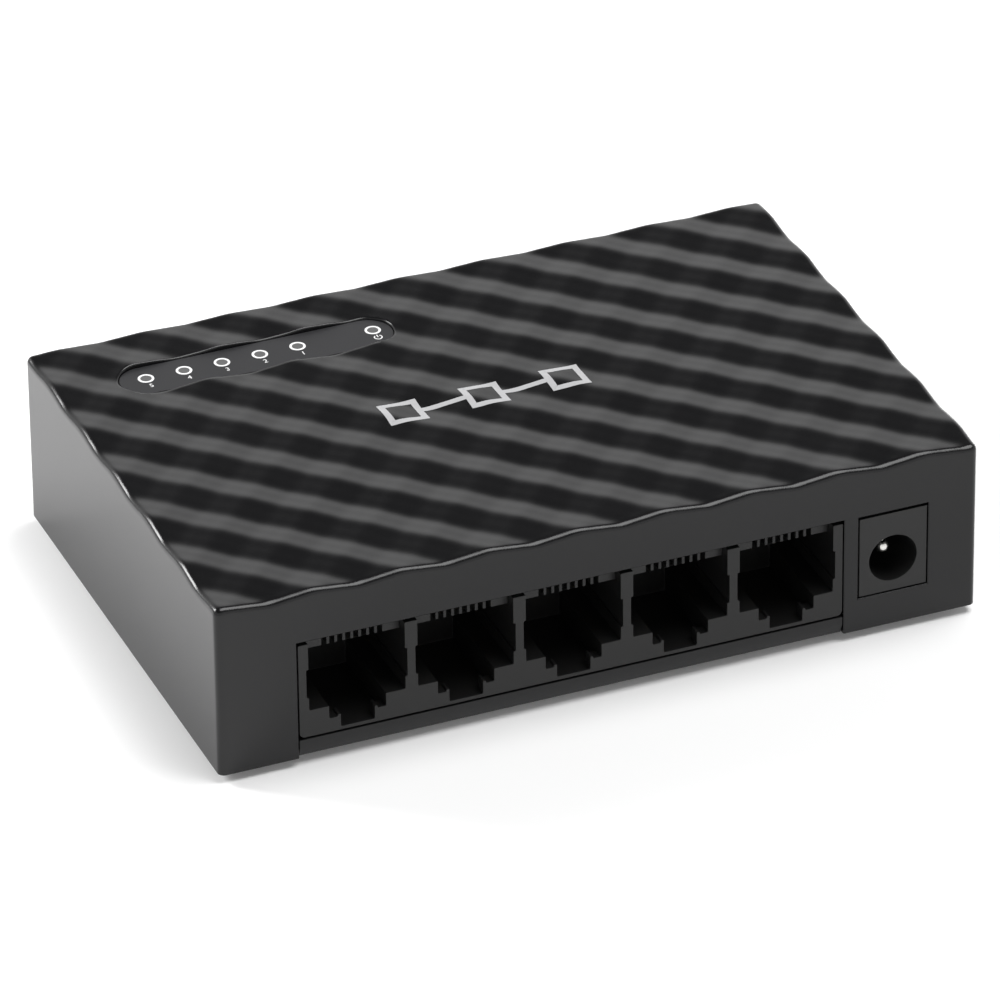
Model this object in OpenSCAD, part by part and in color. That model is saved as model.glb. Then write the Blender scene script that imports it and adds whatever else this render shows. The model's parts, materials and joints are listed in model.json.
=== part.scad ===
// Desktop network switch with five RJ45 ports and a barrel power inlet.
// Ports face -Y, +Z is up, and the origin is on the standing surface under the middle of the case.

/* [Case] */
// Width of the case, left to right
case_w = 99; // [97:1:125]
// Depth of the case, front to back
case_d = 66; // [62:1:90]
// Height of the case, from its lower edge to the middle of the wavy top
case_h = 22.8; // [22:0.2:30]
// Wall thickness of the top cover
wall = 1.8; // [1.4:0.1:2.2]
// Thickness of the bottom cover's plate
base_t = 2; // [1.6:0.1:2.4]
// Radius of the case's upright corners
corner_r = 0.9; // [0.5:0.1:1.6]
// Gap between the bottom cover and the top cover's walls
cover_gap = 0.15; // [0.1:0.05:0.3]
// Height of the rubber feet below the case
foot_h = 1.2; // [0.8:0.1:3]
// Diameter of a rubber foot
foot_d = 9; // [6:0.5:11]

/* [Wavy top] */
// Distance between crests, measured along the front edge
wave_pitch = 11.34; // [9:0.1:16]
// Half height of the main ridges
wave_main = 0.2; // [0.1:0.01:0.4]
// Half height of the ridges that cross them
wave_cross = 0.08; // [0.02:0.01:0.15]

/* [Ports] */
// Number of network ports
ports = 5; // [3:1:5]
// Distance between the middles of neighbouring ports
port_pitch = 13.97; // [13.7:0.01:14.2]
// Middle of the row of ports, from the middle of the case
port_row_x = -3.75; // [-5:0.05:-3.75]
// Width of a port's opening
port_w = 12.3; // [12:0.05:12.5]
// Depth of the space for the plug
plug_depth = 13.2; // [11:0.1:16]
// Thickness of the jack block behind the plugs
jack_back = 2.8; // [2.4:0.1:5]
// Height of the moulded jack block
jack_h = 13; // [12.6:0.1:13.4]
// Contacts in each port
contacts = 8; // [6:2:8]
// Distance between neighbouring contacts
contact_pitch = 1.02; // [1:0.01:1.05]

/* [Power inlet] */
// Middle of the power inlet, from the middle of the case
inlet_x = 38.35; // [38:0.05:39.5]
// Diameter of the inlet's hole
inlet_bore = 6.3; // [5.8:0.1:6.6]
// Diameter of the inlet's centre pin
inlet_pin_d = 2; // [1.6:0.1:2.5]

/* [Status lights] */
// Distance between the port lights
light_pitch = 5; // [4.4:0.1:6]
// Place of port 5's light, from the middle of the case
light_x = -37.6; // [-38:0.1:-36]
// Distance from the lights to the case's back
light_back = 10.8; // [9:0.1:16]
// Length of the window beyond port 5's light
window_left = 3.55; // [2:0.05:5]
// Length of the window beyond the power light
window_right = 2.45; // [2:0.05:6]
// Width of the window over the lights
window_w = 6.7; // [6:0.1:8]

/* [Circuit board] */
// Thickness of the circuit board
board_t = 1.6; // [1:0.1:2]
// Distance between the bodies of the coupling transformers and the jack block
magnetics_gap = 1.2; // [0.8:0.1:3]

/* [Hidden] */
// Moulded outlines and drilled holes are true circles
$fn = 48;

// Small distance that keeps separate pieces and cutting faces apart
slack = 0.05;
over = 1;

// Heights, from the standing surface up
case_z = foot_h;
top_z = case_z + case_h;
ceiling_z = top_z - wall;
plate_z = case_z + base_t;
jack_z = case_z + 2.65;
board_z = jack_z + jack_h;
board_top = board_z + board_t;
front_y = -case_d / 2;
back_y = case_d / 2;

// Jack block and the opening for it
jack_face = front_y + 0.12;
jack_w = (ports - 1) * port_pitch + port_w + 2.64;
jack_d = plug_depth + jack_back;
notch_w = jack_w + 0.3;
notch_top = jack_z + jack_h + 0.45;
shelf_z = jack_z + 3.7;
step_z = jack_z + 1.95;
latch_floor_z = jack_z + 0.5;
latch_w = 4.3;
step_w = 7.24;
catch_d = 1.6;

// Contact carrier and wires
carrier_front = jack_face + 1.5;
carrier_back = jack_face + plug_depth;
carrier_w = port_w - 0.1;
carrier_z = board_z - 1.55;
slot_w = 0.63;
wire_w = 0.35;
wire_t = 0.3;
bend_y = carrier_front + 1.25;
spring_y = bend_y + 0.3;
spring_z = carrier_z + 0.68;
spring_slope = 22;
spring_l = 7.6;
pin_rows = [carrier_back - 3.5, carrier_back - 1.3];

// Power inlet
inlet_w = inlet_bore + 2.7;
inlet_h = 11;
inlet_len = 14.2;
inlet_flange = 3.4;
inlet_barrel_r = inlet_bore / 2 + 0.8;
inlet_axis_z = board_z - 6.4;
inlet_bore_depth = 9.6;
inlet_pin_tip = 2.3;
pin_shoulder = 0.3;
leaf_w = 1.8;
leaf_t = 0.3;
leaf_pivot_y = jack_face + 10.4;
leaf_pivot_z = inlet_axis_z + inlet_bore / 2 + 1;
terminal_w = 2.4;
terminal_t = 0.5;

// Circuit board outline and fasteners
board_w = case_w - 2 * wall - 1;
board_front = front_y + wall + 0.5;
board_back = back_y - wall - 1.6;
case_screw_x = case_w / 2 - 6.6;
case_screw_y = 12.5;
board_screw_x = case_w / 2 - 7;
board_screw_y = 0;
boss_r = 3;
case_screw_r = 1.3;
case_screw_l = 8;
board_screw_r = 1.1;
head_recess_r = 2.6;

// Lights and window
lights = [for (i = [0:4]) light_x + i * light_pitch, light_x + 6 * light_pitch];
light_y = back_y - light_back;
light_l = 2;
light_w = 1.25;
light_h = 0.8;
light_hole_d = 1.5;
window_l = window_left + 6 * light_pitch + window_right;
window_x = light_x - window_left + window_l / 2;
window_y = light_y - 0.4;
window_floor = top_z - 0.65;
window_t = 0.3;

// Parts on the underside of the board
magnetics_w = 12.7;
magnetics_d = 8.2;
magnetics_h = 5.4;
magnetics_y = jack_face + jack_d + magnetics_gap + 1.6 + magnetics_d / 2;
below_magnetics_y = magnetics_y + magnetics_d / 2 + 1.6;
chip_w = 10;
chip_t = 1.4;
chip_x = -8;
chip_y = below_magnetics_y + 9.7;
chip_leads = 16;
chip_lead_pitch = 0.5;

capacitor_x = 20;
supply_y = chip_y + 10;
chip_part_y = magnetics_y + magnetics_d / 2 + 2.6;
diode_y = jack_face + inlet_len + 5;

// Bottom cover's details
boss_z = plate_z + 1.2;
head_recess_h = 1.7;
case_head_h = 1.4;
board_head_h = 1.3;
foot_x = case_w / 2 - 9.5;
foot_y = case_d / 2 - 8;
foot_sink = 0.6;
label_w = 44;
label_d = 20;
label_y = -2;
keyhole_x = 28;
keyhole_y = 13.5;
keyhole_head_r = 3.4;
keyhole_slot = 3.6;
keyhole_slide = 6;

// Pegs and terminals through the board
peg_r = 1.1;
peg_y = jack_face + jack_d - 1.4;
pin_terminal_y = jack_face + inlet_len + terminal_t / 2;
sleeve_terminal_y = leaf_pivot_y + 0.15 + terminal_t / 2;
switch_terminal_x = inlet_x + inlet_barrel_r + terminal_t / 2;
switch_terminal_y = jack_face + 9;
terminal_top = board_top + 1;

// X of the middle of port i, port 1 being the rightmost one beside the power inlet
function port_x(i) = port_row_x + ((ports + 1) / 2 - i) * port_pitch;

// X of contact k in a port, from the port's middle
function contact_x(k) = (k - (contacts - 1) / 2) * contact_pitch;

// Zigzag with small flats at its crests: height of a wave at a phase in degrees
function zigzag(phase) =
  let (folded = abs(((phase % 360) + 540) % 360 - 180))
  max(-1, min(1, (folded - 90) / 65)) * -1;

// Rectangle centred on the origin with round corners
module rounded_outline(w, d, r) {
  square([w - 2 * r, d], center = true);
  square([w, d - 2 * r], center = true);
  for (x = [-1, 1], y = [-1, 1])
    translate([x * (w / 2 - r), y * (d / 2 - r)]) circle(r = r);
}

// Oblong with full round ends, lying along X
module oblong(l, w) {
  square([l - w, w], center = true);
  for (x = [-1, 1])
    translate([x * (l - w) / 2, 0]) circle(d = w);
}

// Block that is centred on X and Y and stands on z
module block(w, d, h, x = 0, y = 0, z = 0) {
  translate([x - w / 2, y - d / 2, z]) cube([w, d, h]);
}

// Upright cylinder that stands on z
module post(r, h, x = 0, y = 0, z = 0) {
  translate([x, y, z]) cylinder(r = r, h = h);
}

// Solid with the wavy top: two sets of ridges at right angles, each at 45 degrees to the case
module wave_block() {
  // Phases where each zigzag bends, so that every patch between them is flat
  main_bends = [-25, 25, 155, 205];
  cross_bends = [0, 180];
  reach = (case_w + case_d) / 2 + wave_pitch;
  turns = ceil(reach / wave_pitch);
  main_steps = [for (n = [-turns:turns], b = main_bends) (n + b / 360) * wave_pitch];
  cross_steps = [for (n = [-turns:turns], b = cross_bends) (n + b / 360) * wave_pitch];
  rows = len(main_steps);
  count = len(cross_steps);
  // Crest lines of the two sets, as x + y and as x - y
  main_crest = -1.47;
  cross_crest = -3.96;
  points = [
    for (level = [0, 1], u = main_steps, v = cross_steps)
      let (sum = u + main_crest, difference = v + cross_crest)
      [
        (sum + difference) / 2,
        (sum - difference) / 2,
        level == 0
          ? case_z - over
          : top_z + wave_main * zigzag(u * 360 / wave_pitch)
            + wave_cross * zigzag(v * 360 / wave_pitch)
      ]
  ];
  function at(level, a, b) = (level * rows + a) * count + b;
  final = rows - 1;
  last = count - 1;
  top_faces = [
    for (a = [0:final - 1], b = [0:last - 1])
      [at(1, a, b), at(1, a + 1, b), at(1, a + 1, b + 1), at(1, a, b + 1)]
  ];
  side_faces = [
    concat([for (b = [0:last]) at(1, 0, b)], [at(0, 0, last), at(0, 0, 0)]),
    concat([for (b = [last:-1:0]) at(1, final, b)], [at(0, final, 0), at(0, final, last)]),
    concat([for (a = [final:-1:0]) at(1, a, 0)], [at(0, 0, 0), at(0, final, 0)]),
    concat([for (a = [0:final]) at(1, a, last)], [at(0, final, last), at(0, 0, last)])
  ];
  bottom_face = [at(0, 0, 0), at(0, 0, last), at(0, final, last), at(0, final, 0)];
  polyhedron(points = points, faces = concat(top_faces, side_faces, [bottom_face]), convexity = 4);
}

// Outline in Y and Z, drawn out along X and centred on x
module across(w, x = 0) {
  translate([x - w / 2, 0, 0]) rotate([90, 0, 90]) linear_extrude(w) children();
}

// Cylinder lying along Y, from y to y + l
module rod(r, l, x, y, z) {
  translate([x, y, z]) rotate([-90, 0, 0]) cylinder(r = r, h = l);
}

// Repeats its children at the four places that x and y and their mirror images give
module four_corners(x, y) {
  for (sx = [-1, 1], sy = [-1, 1])
    translate([sx * x, sy * y, 0]) children();
}

// Screw whose head looks down and whose shank points up, with a cross recess
module screw(r, l, head_r, head_h) {
  difference() {
    union() {
      cylinder(r1 = head_r - 0.3, r2 = head_r, h = 0.4);
      post(head_r, head_h - 0.4, z = 0.4);
      post(r, l, z = head_h);
    }
    block(head_r * 1.1, 0.5, 2 * head_h * 0.55, z = -head_h * 0.55);
    block(0.5, head_r * 1.1, 2 * head_h * 0.55, z = -head_h * 0.55);
  }
}

// Wave-topped box, open below, with its bosses and its light shroud
module top_cover() {
  shroud_l = 6 * light_pitch + 5;
  shroud_w = 5;
  shroud_hole_r = 1.8;
  color([0.1, 0.1, 0.11])
  difference() {
    union() {
      difference() {
        intersection() {
          wave_block();
          translate([0, 0, case_z]) linear_extrude(case_h + over)
            rounded_outline(case_w, case_d, corner_r);
        }
        translate([0, 0, case_z - over]) linear_extrude(ceiling_z - case_z + over)
          rounded_outline(case_w - 2 * wall, case_d - 2 * wall, 0.4);
      }
      four_corners(case_screw_x, case_screw_y)
        post(boss_r, ceiling_z - boss_z + slack, z = boss_z);
      for (side = [-1, 1])
        post(boss_r - 0.4, ceiling_z - board_top + slack, side * board_screw_x, board_screw_y, board_top);
      block(shroud_l, shroud_w, ceiling_z - board_top - light_h + slack,
            light_x + 3 * light_pitch, light_y, board_top + light_h);
    }
    // Notch for the jack block, open at the case's lower edge
    block(notch_w, 2 * wall + over, notch_top - case_z + over,
          port_row_x, front_y, case_z - over);
    // Window for the power inlet
    block(inlet_w + 0.3, 2 * wall + over, inlet_h + 0.5, inlet_x, front_y, board_z - inlet_h - 0.15);
    // Recess for the light window, and the holes through which it is lit
    translate([window_x, window_y, window_floor]) linear_extrude(case_h) oblong(window_l, window_w);
    for (x = lights) {
      post(light_hole_d / 2, case_h, x, light_y, board_top);
      post(shroud_hole_r, ceiling_z - board_top, x, light_y, board_top);
    }
    four_corners(case_screw_x, case_screw_y)
      post(case_screw_r, case_screw_l + over, z = boss_z - over);
    for (side = [-1, 1])
      post(board_screw_r, ceiling_z - board_top + slack, side * board_screw_x, board_screw_y,
           board_top - slack);
  }
}

// Plate that closes the case, with the lip under the jack block
module bottom_cover() {
  plate_w = case_w - 2 * wall - 2 * cover_gap;
  plate_d = case_d - 2 * wall - 2 * cover_gap;
  lip_w = notch_w - 0.2;
  lip_h = 2.4;
  lip_front = front_y + 0.1;
  lip_back = front_y + wall + over;
  color([0.08, 0.08, 0.09])
  difference() {
    union() {
      translate([0, 0, case_z]) linear_extrude(base_t) rounded_outline(plate_w, plate_d, 0.4);
      across(lip_w, port_row_x)
        polygon([
          [lip_front + 0.5, case_z], [lip_back, case_z], [lip_back, case_z + lip_h],
          [lip_front, case_z + lip_h], [lip_front, case_z + 1.3]
        ]);
      // Ribs that carry the jack block
      for (y = [jack_face + 4, jack_face + jack_d - 3])
        block(jack_w - 6, 1.2, jack_z - case_z - 1, port_row_x, y, case_z + 1);
      four_corners(case_screw_x, case_screw_y) post(boss_r, boss_z - case_z, z = case_z);
    }
    four_corners(case_screw_x, case_screw_y) {
      post(head_recess_r, head_recess_h + over, z = case_z - over);
      post(case_screw_r + 0.2, boss_z, z = case_z);
    }
    four_corners(foot_x, foot_y) post(foot_d / 2 + 0.1, foot_sink + over, z = case_z - over);
    block(label_w + 0.4, label_d + 0.4, 0.2 + over, 0, label_y, case_z - over);
    for (side = [-1, 1])
      translate([side * keyhole_x, keyhole_y, case_z - over]) linear_extrude(base_t + 2 * over) {
        circle(r = keyhole_head_r);
        translate([0, keyhole_slide / 2]) square([keyhole_slot, keyhole_slide], center = true);
        translate([0, keyhole_slide]) circle(d = keyhole_slot);
      }
  }
}

// Tinted film that lies in the recess over the lights
module light_window() {
  color([0.22, 0.22, 0.24])
  translate([window_x, window_y, window_floor])
    linear_extrude(window_t) oblong(window_l - 0.2, window_w - 0.2);
}

// Board that hangs above the jacks, with its holes
module circuit_board() {
  color([0.05, 0.3, 0.16])
  difference() {
    translate([-board_w / 2, board_front, board_z]) cube([board_w, board_back - board_front, board_t]);
    four_corners(case_screw_x, case_screw_y) post(boss_r + 0.3, 3 * board_t, z = board_z - over);
    for (side = [-1, 1])
      post(board_screw_r + 0.15, 3 * board_t, side * board_screw_x, board_screw_y, board_z - over);
    for (i = [1:ports], k = [0:contacts - 1])
      post(0.45, 3 * board_t, port_x(i) + contact_x(k), pin_rows[k % 2], board_z - over);
    for (i = [1, ports])
      post(peg_r + 0.1, 3 * board_t, port_x(i), peg_y, board_z - over);
    block(terminal_w + 0.4, terminal_t + 0.4, 3 * board_t, inlet_x, pin_terminal_y, board_z - over);
    block(leaf_w + 0.4, terminal_t + 0.4, 3 * board_t, inlet_x, sleeve_terminal_y, board_z - over);
    block(terminal_t + 0.4, terminal_w + 0.4, 3 * board_t, switch_terminal_x, switch_terminal_y,
          board_z - over);
  }
}

module case_screws() {
  color([0.62, 0.62, 0.64])
  four_corners(case_screw_x, case_screw_y)
    translate([0, 0, case_z + head_recess_h - case_head_h])
      screw(case_screw_r, case_screw_l - over, head_recess_r - 0.2, case_head_h);
}

module board_screws() {
  color([0.7, 0.7, 0.72])
  for (side = [-1, 1])
    translate([side * board_screw_x, board_screw_y, board_z - board_head_h])
      screw(board_screw_r, board_t + ceiling_z - board_top - 0.2, 2, board_head_h);
}

// Blank label in its recess under the case
module rating_label() {
  color([0.85, 0.85, 0.85])
  block(label_w, label_d, 0.15, 0, label_y, case_z + 0.05);
}

// Rubber foot number i, front ones first and left before right
module rubber_foot(i) {
  sx = i % 2 == 1 ? -1 : 1;
  sy = i < 3 ? -1 : 1;
  color([0.13, 0.13, 0.13])
  translate([sx * foot_x, sy * foot_y, 0]) {
    cylinder(r1 = foot_d / 2 - 0.4, r2 = foot_d / 2, h = 0.4);
    post(foot_d / 2, foot_h + foot_sink - 0.4, z = 0.4);
  }
}

// Light-emitting diode number n, counted from port 5's
module light(n) {
  color([0.85, 0.88, 0.8]) {
    block(light_l, light_w, 0.35, lights[n], light_y, board_top);
    block(light_l * 0.6, light_w, light_h - 0.35, lights[n], light_y, board_top + 0.35);
  }
}

// Space for one plug, with its latch channel, open to the front and towards the board
module port_space() {
  cavity = plug_depth + over;
  y = jack_face - over;
  mid = y + cavity / 2;
  block(port_w, cavity, board_z - shelf_z + over, 0, mid, shelf_z);
  block(port_w + 0.57, cavity, 3.9, 0, mid, jack_z + 5.45);
  block(step_w, cavity, shelf_z - step_z + slack, 0, mid, step_z);
  block(latch_w, cavity, step_z - latch_floor_z + slack, 0, mid, latch_floor_z);
  block(step_w, plug_depth - catch_d, step_z - latch_floor_z + slack,
        0, jack_face + (plug_depth + catch_d) / 2, latch_floor_z);
}

// One moulded block with the sockets of all ports
module jack_block() {
  corner = 0.7;
  lip = 0.4;
  color([0.07, 0.07, 0.07]) {
    difference() {
      union() {
        translate([port_row_x, jack_face + jack_d, jack_z]) rotate([90, 0, 0]) linear_extrude(jack_d) {
          translate([-jack_w / 2, corner]) square([jack_w, jack_h - corner]);
          translate([-jack_w / 2 + corner, 0]) square([jack_w - 2 * corner, jack_h]);
          for (side = [-1, 1])
            translate([side * (jack_w / 2 - corner), corner]) circle(r = corner);
        }
        for (i = [1, ports]) post(peg_r, board_t + over, port_x(i), peg_y, board_z - slack);
      }
      for (i = [1:ports])
        translate([port_x(i), 0, 0]) port_space();
    }
    for (i = [1:ports], side = [-1, 1])
      block(lip, catch_d, 0.3 + slack, port_x(i) + side * (latch_w + lip) / 2,
            jack_face + catch_d / 2, step_z - slack);
  }
}

// Insert that closes port i on the board side and guides its contacts
module contact_carrier(i) {
  d = carrier_back - carrier_front;
  color([0.12, 0.12, 0.12])
  difference() {
    block(carrier_w, d, board_z - carrier_z, port_x(i), carrier_front + d / 2, carrier_z);
    for (k = [0:contacts - 1])
      translate([port_x(i) + contact_x(k) - slot_w / 2, 0, 0]) {
        // Open comb at the front, where the wires bend round
        translate([0, carrier_front - over, carrier_z - over])
          cube([slot_w, bend_y + 0.35 - carrier_front + over, board_z - carrier_z + 2 * over]);
        // Slot that the spring part moves in
        translate([0, bend_y, carrier_z - over]) cube([slot_w, 6.2, over + 0.92]);
        // Channel that holds the fixed part against the board
        translate([0, bend_y, board_z - wire_t - slack])
          cube([slot_w, pin_rows[k % 2] - bend_y + 0.4, wire_t + slack + over]);
      }
  }
}

// Fixed part of port i's wires: bend, run along the carrier and pin through the board
module contact_wires(i) {
  color([0.85, 0.68, 0.3])
  for (k = [0:contacts - 1]) {
    x = port_x(i) + contact_x(k);
    run = pin_rows[k % 2] - bend_y + wire_t;
    block(wire_w, run, wire_t, x, bend_y - wire_t / 2 + run / 2, board_z - wire_t - slack / 2);
    block(wire_w, wire_t, board_z - spring_z, x, bend_y, spring_z - wire_t / 2);
    block(wire_w, wire_t, board_t + 1, x, pin_rows[k % 2], board_z - wire_t / 2);
  }
}

// Free ends of port i's wires, which a plug lifts
module contact_springs(i) {
  color([0.9, 0.74, 0.35])
  for (k = [0:contacts - 1])
    translate([port_x(i) + contact_x(k), spring_y, spring_z]) rotate([-spring_slope, 0, 0])
      block(wire_w, spring_l, wire_t, 0, spring_l / 2, -wire_t / 2);
}

// Moulded body of the power inlet, with its bore and the slot for the sleeve contact
module inlet_housing() {
  body_l = inlet_len - inlet_flange + slack;
  body_y = jack_face + inlet_flange - slack;
  color([0.08, 0.08, 0.08])
  difference() {
    union() {
      block(inlet_w, inlet_flange, inlet_h, inlet_x, jack_face + inlet_flange / 2, board_z - inlet_h);
      rod(inlet_barrel_r, body_l, inlet_x, body_y, inlet_axis_z);
      block(2 * inlet_barrel_r, body_l, board_z - inlet_axis_z,
            inlet_x, body_y + body_l / 2, inlet_axis_z);
    }
    rod(inlet_bore / 2, inlet_bore_depth + over, inlet_x, jack_face - over, inlet_axis_z);
    rod(inlet_pin_d / 2 + pin_shoulder, inlet_len + over, inlet_x, jack_face, inlet_axis_z);
    block(leaf_w + 0.5, inlet_len - 2.4, board_z - inlet_axis_z,
          inlet_x, jack_face + inlet_len / 2, inlet_axis_z + inlet_bore / 2 - 0.6);
  }
}

// Centre pin with its terminal
module inlet_pin() {
  pin_r = inlet_pin_d / 2;
  tip_y = jack_face + inlet_pin_tip + pin_r;
  color([0.8, 0.8, 0.8]) {
    rod(pin_r, jack_face + inlet_bore_depth - tip_y + slack, inlet_x, tip_y, inlet_axis_z);
    rod(pin_r + pin_shoulder, inlet_len - inlet_bore_depth + slack, inlet_x,
        jack_face + inlet_bore_depth, inlet_axis_z);
    translate([inlet_x, tip_y, inlet_axis_z]) sphere(r = pin_r);
    block(terminal_w, terminal_t, terminal_top - inlet_axis_z + 1.2, inlet_x, pin_terminal_y,
          inlet_axis_z - 1.2);
  }
}

// Leaf that presses on a plug's sleeve and turns at its rear end
module inlet_spring() {
  bore_top = inlet_axis_z + inlet_bore / 2;
  bend_at = jack_face + 5.2;
  tip_at = jack_face + 2.8;
  color([0.82, 0.8, 0.74])
  across(leaf_w, inlet_x)
    polygon([
      [tip_at, bore_top + 0.5], [bend_at, bore_top - 0.35], [leaf_pivot_y, leaf_pivot_z - leaf_t / 2],
      [leaf_pivot_y, leaf_pivot_z + leaf_t / 2], [bend_at, bore_top - 0.35 + leaf_t],
      [tip_at, bore_top + 0.5 + leaf_t]
    ]);
}

// Fixed end of the sleeve contact
module inlet_sleeve_terminal() {
  color([0.78, 0.76, 0.7])
  block(leaf_w, terminal_t, terminal_top - leaf_pivot_z + 0.6, inlet_x, sleeve_terminal_y,
        leaf_pivot_z - 0.6);
}

// Side terminal that opens when a plug is pushed in
module inlet_switch_terminal() {
  color([0.78, 0.76, 0.7])
  block(terminal_t, terminal_w, terminal_top - inlet_axis_z + 1.5, switch_terminal_x,
        switch_terminal_y, inlet_axis_z - 1.5);
}

// Bent lead that leaves a body at the origin towards +Y and ends on the board above
module gull_lead(reach, w, t, rise) {
  across(w)
    polygon([
      [0, -t / 2], [reach * 0.35, -t / 2], [reach * 0.6, rise - t], [reach, rise - t],
      [reach, rise], [reach * 0.45, rise], [reach * 0.2, t / 2], [0, t / 2]
    ]);
}

// Coupling transformer behind port i
module transformer(i) {
  color([0.06, 0.06, 0.06])
  difference() {
    block(magnetics_w, magnetics_d, magnetics_h, port_x(i), magnetics_y, board_z - magnetics_h - 0.15);
    post(0.6, 0.25 + over, port_x(i) - magnetics_w / 2 + 1.5, magnetics_y - magnetics_d / 2 + 1.5,
         board_z - magnetics_h - 0.15 - over);
  }
}

module transformer_leads() {
  pitch = 1.27;
  rise = 1.4;
  color([0.75, 0.75, 0.77])
  for (i = [1:ports], k = [0:7], side = [0, 1])
    translate([port_x(i) + (k - 3.5) * pitch, magnetics_y, board_z - rise])
      rotate([0, 0, side * 180]) translate([0, magnetics_d / 2, 0]) gull_lead(1.4, 0.4, 0.25, rise);
}

module switch_chip() {
  color([0.05, 0.05, 0.05])
  difference() {
    block(chip_w, chip_w, chip_t, chip_x, chip_y, board_z - chip_t - 0.1);
    post(0.5, 0.15 + over, chip_x - chip_w / 2 + 1.2, chip_y - chip_w / 2 + 1.2,
         board_z - chip_t - 0.1 - over);
  }
}

module switch_chip_leads() {
  rise = 0.8;
  color([0.75, 0.75, 0.77])
  for (side = [0:3], k = [0:chip_leads - 1])
    translate([chip_x, chip_y, board_z - rise]) rotate([0, 0, side * 90])
      translate([(k - (chip_leads - 1) / 2) * chip_lead_pitch, chip_w / 2, 0])
        gull_lead(1.1, 0.22, 0.13, rise);
}

// Quartz crystal in its can
module crystal() {
  color([0.78, 0.78, 0.78])
  translate([chip_x + 15, chip_y, board_z]) {
    translate([0, 0, -0.4]) linear_extrude(0.4) rotate(90) oblong(11, 4.6);
    translate([0, 0, -3.5]) linear_extrude(3.2) rotate(90) oblong(10.2, 3.8);
  }
}

// Electrolytic capacitor number n, hanging from the board
module capacitor(n) {
  r = n == 1 ? 3.15 : 2.5;
  h = n == 1 ? 7 : 5.5;
  color([0.1, 0.12, 0.2])
  translate([capacitor_x + (n - 1) * 8, chip_y, board_z - h]) {
    cylinder(r1 = r - 0.3, r2 = r, h = 0.3);
    post(r, h - 1.4 - 0.3, z = 0.3);
    post(r - 0.3, 0.4, z = h - 1.4);
    post(r, 1, z = h - 1);
  }
}

// Wound choke of the power supply
module inductor() {
  color([0.2, 0.2, 0.21])
  translate([capacitor_x, supply_y, 0]) {
    block(6, 6, 0.6, z = board_z - 0.6);
    post(2.2, 1.7, z = board_z - 2.3);
    block(6, 6, 0.6, z = board_z - 2.9);
  }
}

module regulator() {
  color([0.06, 0.06, 0.06])
  block(6.5, 3.5, 1.6, capacitor_x + 10, supply_y, board_z - 1.65);
}

module regulator_leads() {
  color([0.75, 0.75, 0.77])
  translate([capacitor_x + 10, supply_y, board_z - 0.9]) {
    for (k = [-1:1])
      translate([k * 2.3, 1.75, 0]) gull_lead(1.6, 0.7, 0.25, 0.9);
    rotate([0, 0, 180]) translate([0, 1.75, 0]) gull_lead(1.6, 3, 0.25, 0.9);
  }
}

// Diode behind the power inlet
module diode() {
  color([0.08, 0.08, 0.08]) {
    block(4.4, 2.7, 1.7, inlet_x - 1, diode_y, board_z - 2);
    block(5.2, 1.5, 0.3, inlet_x - 1, diode_y, board_z - 0.3);
  }
}

// Rows of chip resistors under the transformers' far side
module chip_resistors() {
  color([0.15, 0.15, 0.15])
  for (i = [1:ports], k = [-1, 1])
    block(1.6, 0.8, 0.45, port_x(i) + k * 2.2, chip_part_y, board_z - 0.45);
}

module chip_capacitors() {
  color([0.62, 0.5, 0.36])
  for (side = [-1, 1], k = [-2:2])
    block(0.8, 1.6, 0.6, chip_x + k * 2.2, chip_y + side * 7.4, board_z - 0.6);
}

top_cover();
bottom_cover();
light_window();
circuit_board();
case_screws();
board_screws();
rating_label();
for (i = [1:4]) {
  rubber_foot(i);
}
for (i = [1:5]) {
  light(5 - i);
}
light(5);  // power_light
jack_block();
for (i = [1:ports]) {
  contact_carrier(i);
  contact_wires(i);
  contact_springs(i);
  transformer(i);
}
inlet_housing();
inlet_pin();
inlet_spring();
inlet_sleeve_terminal();
inlet_switch_terminal();
transformer_leads();
switch_chip();
switch_chip_leads();
crystal();
capacitor(1);  // capacitor_1
capacitor(2);  // capacitor_2
inductor();
regulator();
regulator_leads();
diode();
chip_resistors();
chip_capacitors();
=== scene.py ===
"""Looks of a five-port desktop network switch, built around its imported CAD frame."""

import json
import logging
import math
from dataclasses import dataclass
from enum import Enum
from typing import Optional, Sequence

import bmesh
import bpy
from mathutils import Matrix, Vector

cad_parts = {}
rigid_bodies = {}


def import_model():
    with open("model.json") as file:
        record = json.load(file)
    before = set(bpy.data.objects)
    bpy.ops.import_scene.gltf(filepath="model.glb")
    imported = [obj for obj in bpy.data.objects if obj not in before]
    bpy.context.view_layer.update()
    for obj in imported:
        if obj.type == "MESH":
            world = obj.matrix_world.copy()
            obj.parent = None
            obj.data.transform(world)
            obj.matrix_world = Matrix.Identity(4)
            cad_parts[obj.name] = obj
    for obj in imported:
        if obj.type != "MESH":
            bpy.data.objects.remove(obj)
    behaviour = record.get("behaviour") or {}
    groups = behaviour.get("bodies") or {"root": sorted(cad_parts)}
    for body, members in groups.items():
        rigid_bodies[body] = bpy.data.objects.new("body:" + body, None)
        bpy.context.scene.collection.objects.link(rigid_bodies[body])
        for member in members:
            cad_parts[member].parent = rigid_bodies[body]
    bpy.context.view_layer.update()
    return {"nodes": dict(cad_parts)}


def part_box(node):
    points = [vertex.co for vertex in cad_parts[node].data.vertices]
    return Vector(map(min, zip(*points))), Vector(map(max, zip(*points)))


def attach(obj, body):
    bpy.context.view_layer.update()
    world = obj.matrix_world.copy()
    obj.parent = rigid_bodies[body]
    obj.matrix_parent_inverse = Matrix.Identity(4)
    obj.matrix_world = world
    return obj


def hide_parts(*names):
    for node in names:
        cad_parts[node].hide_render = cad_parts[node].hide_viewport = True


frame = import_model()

LOG = logging.getLogger("network_switch")
MM = 0.001
SWITCH_BODY = "switch"
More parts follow.
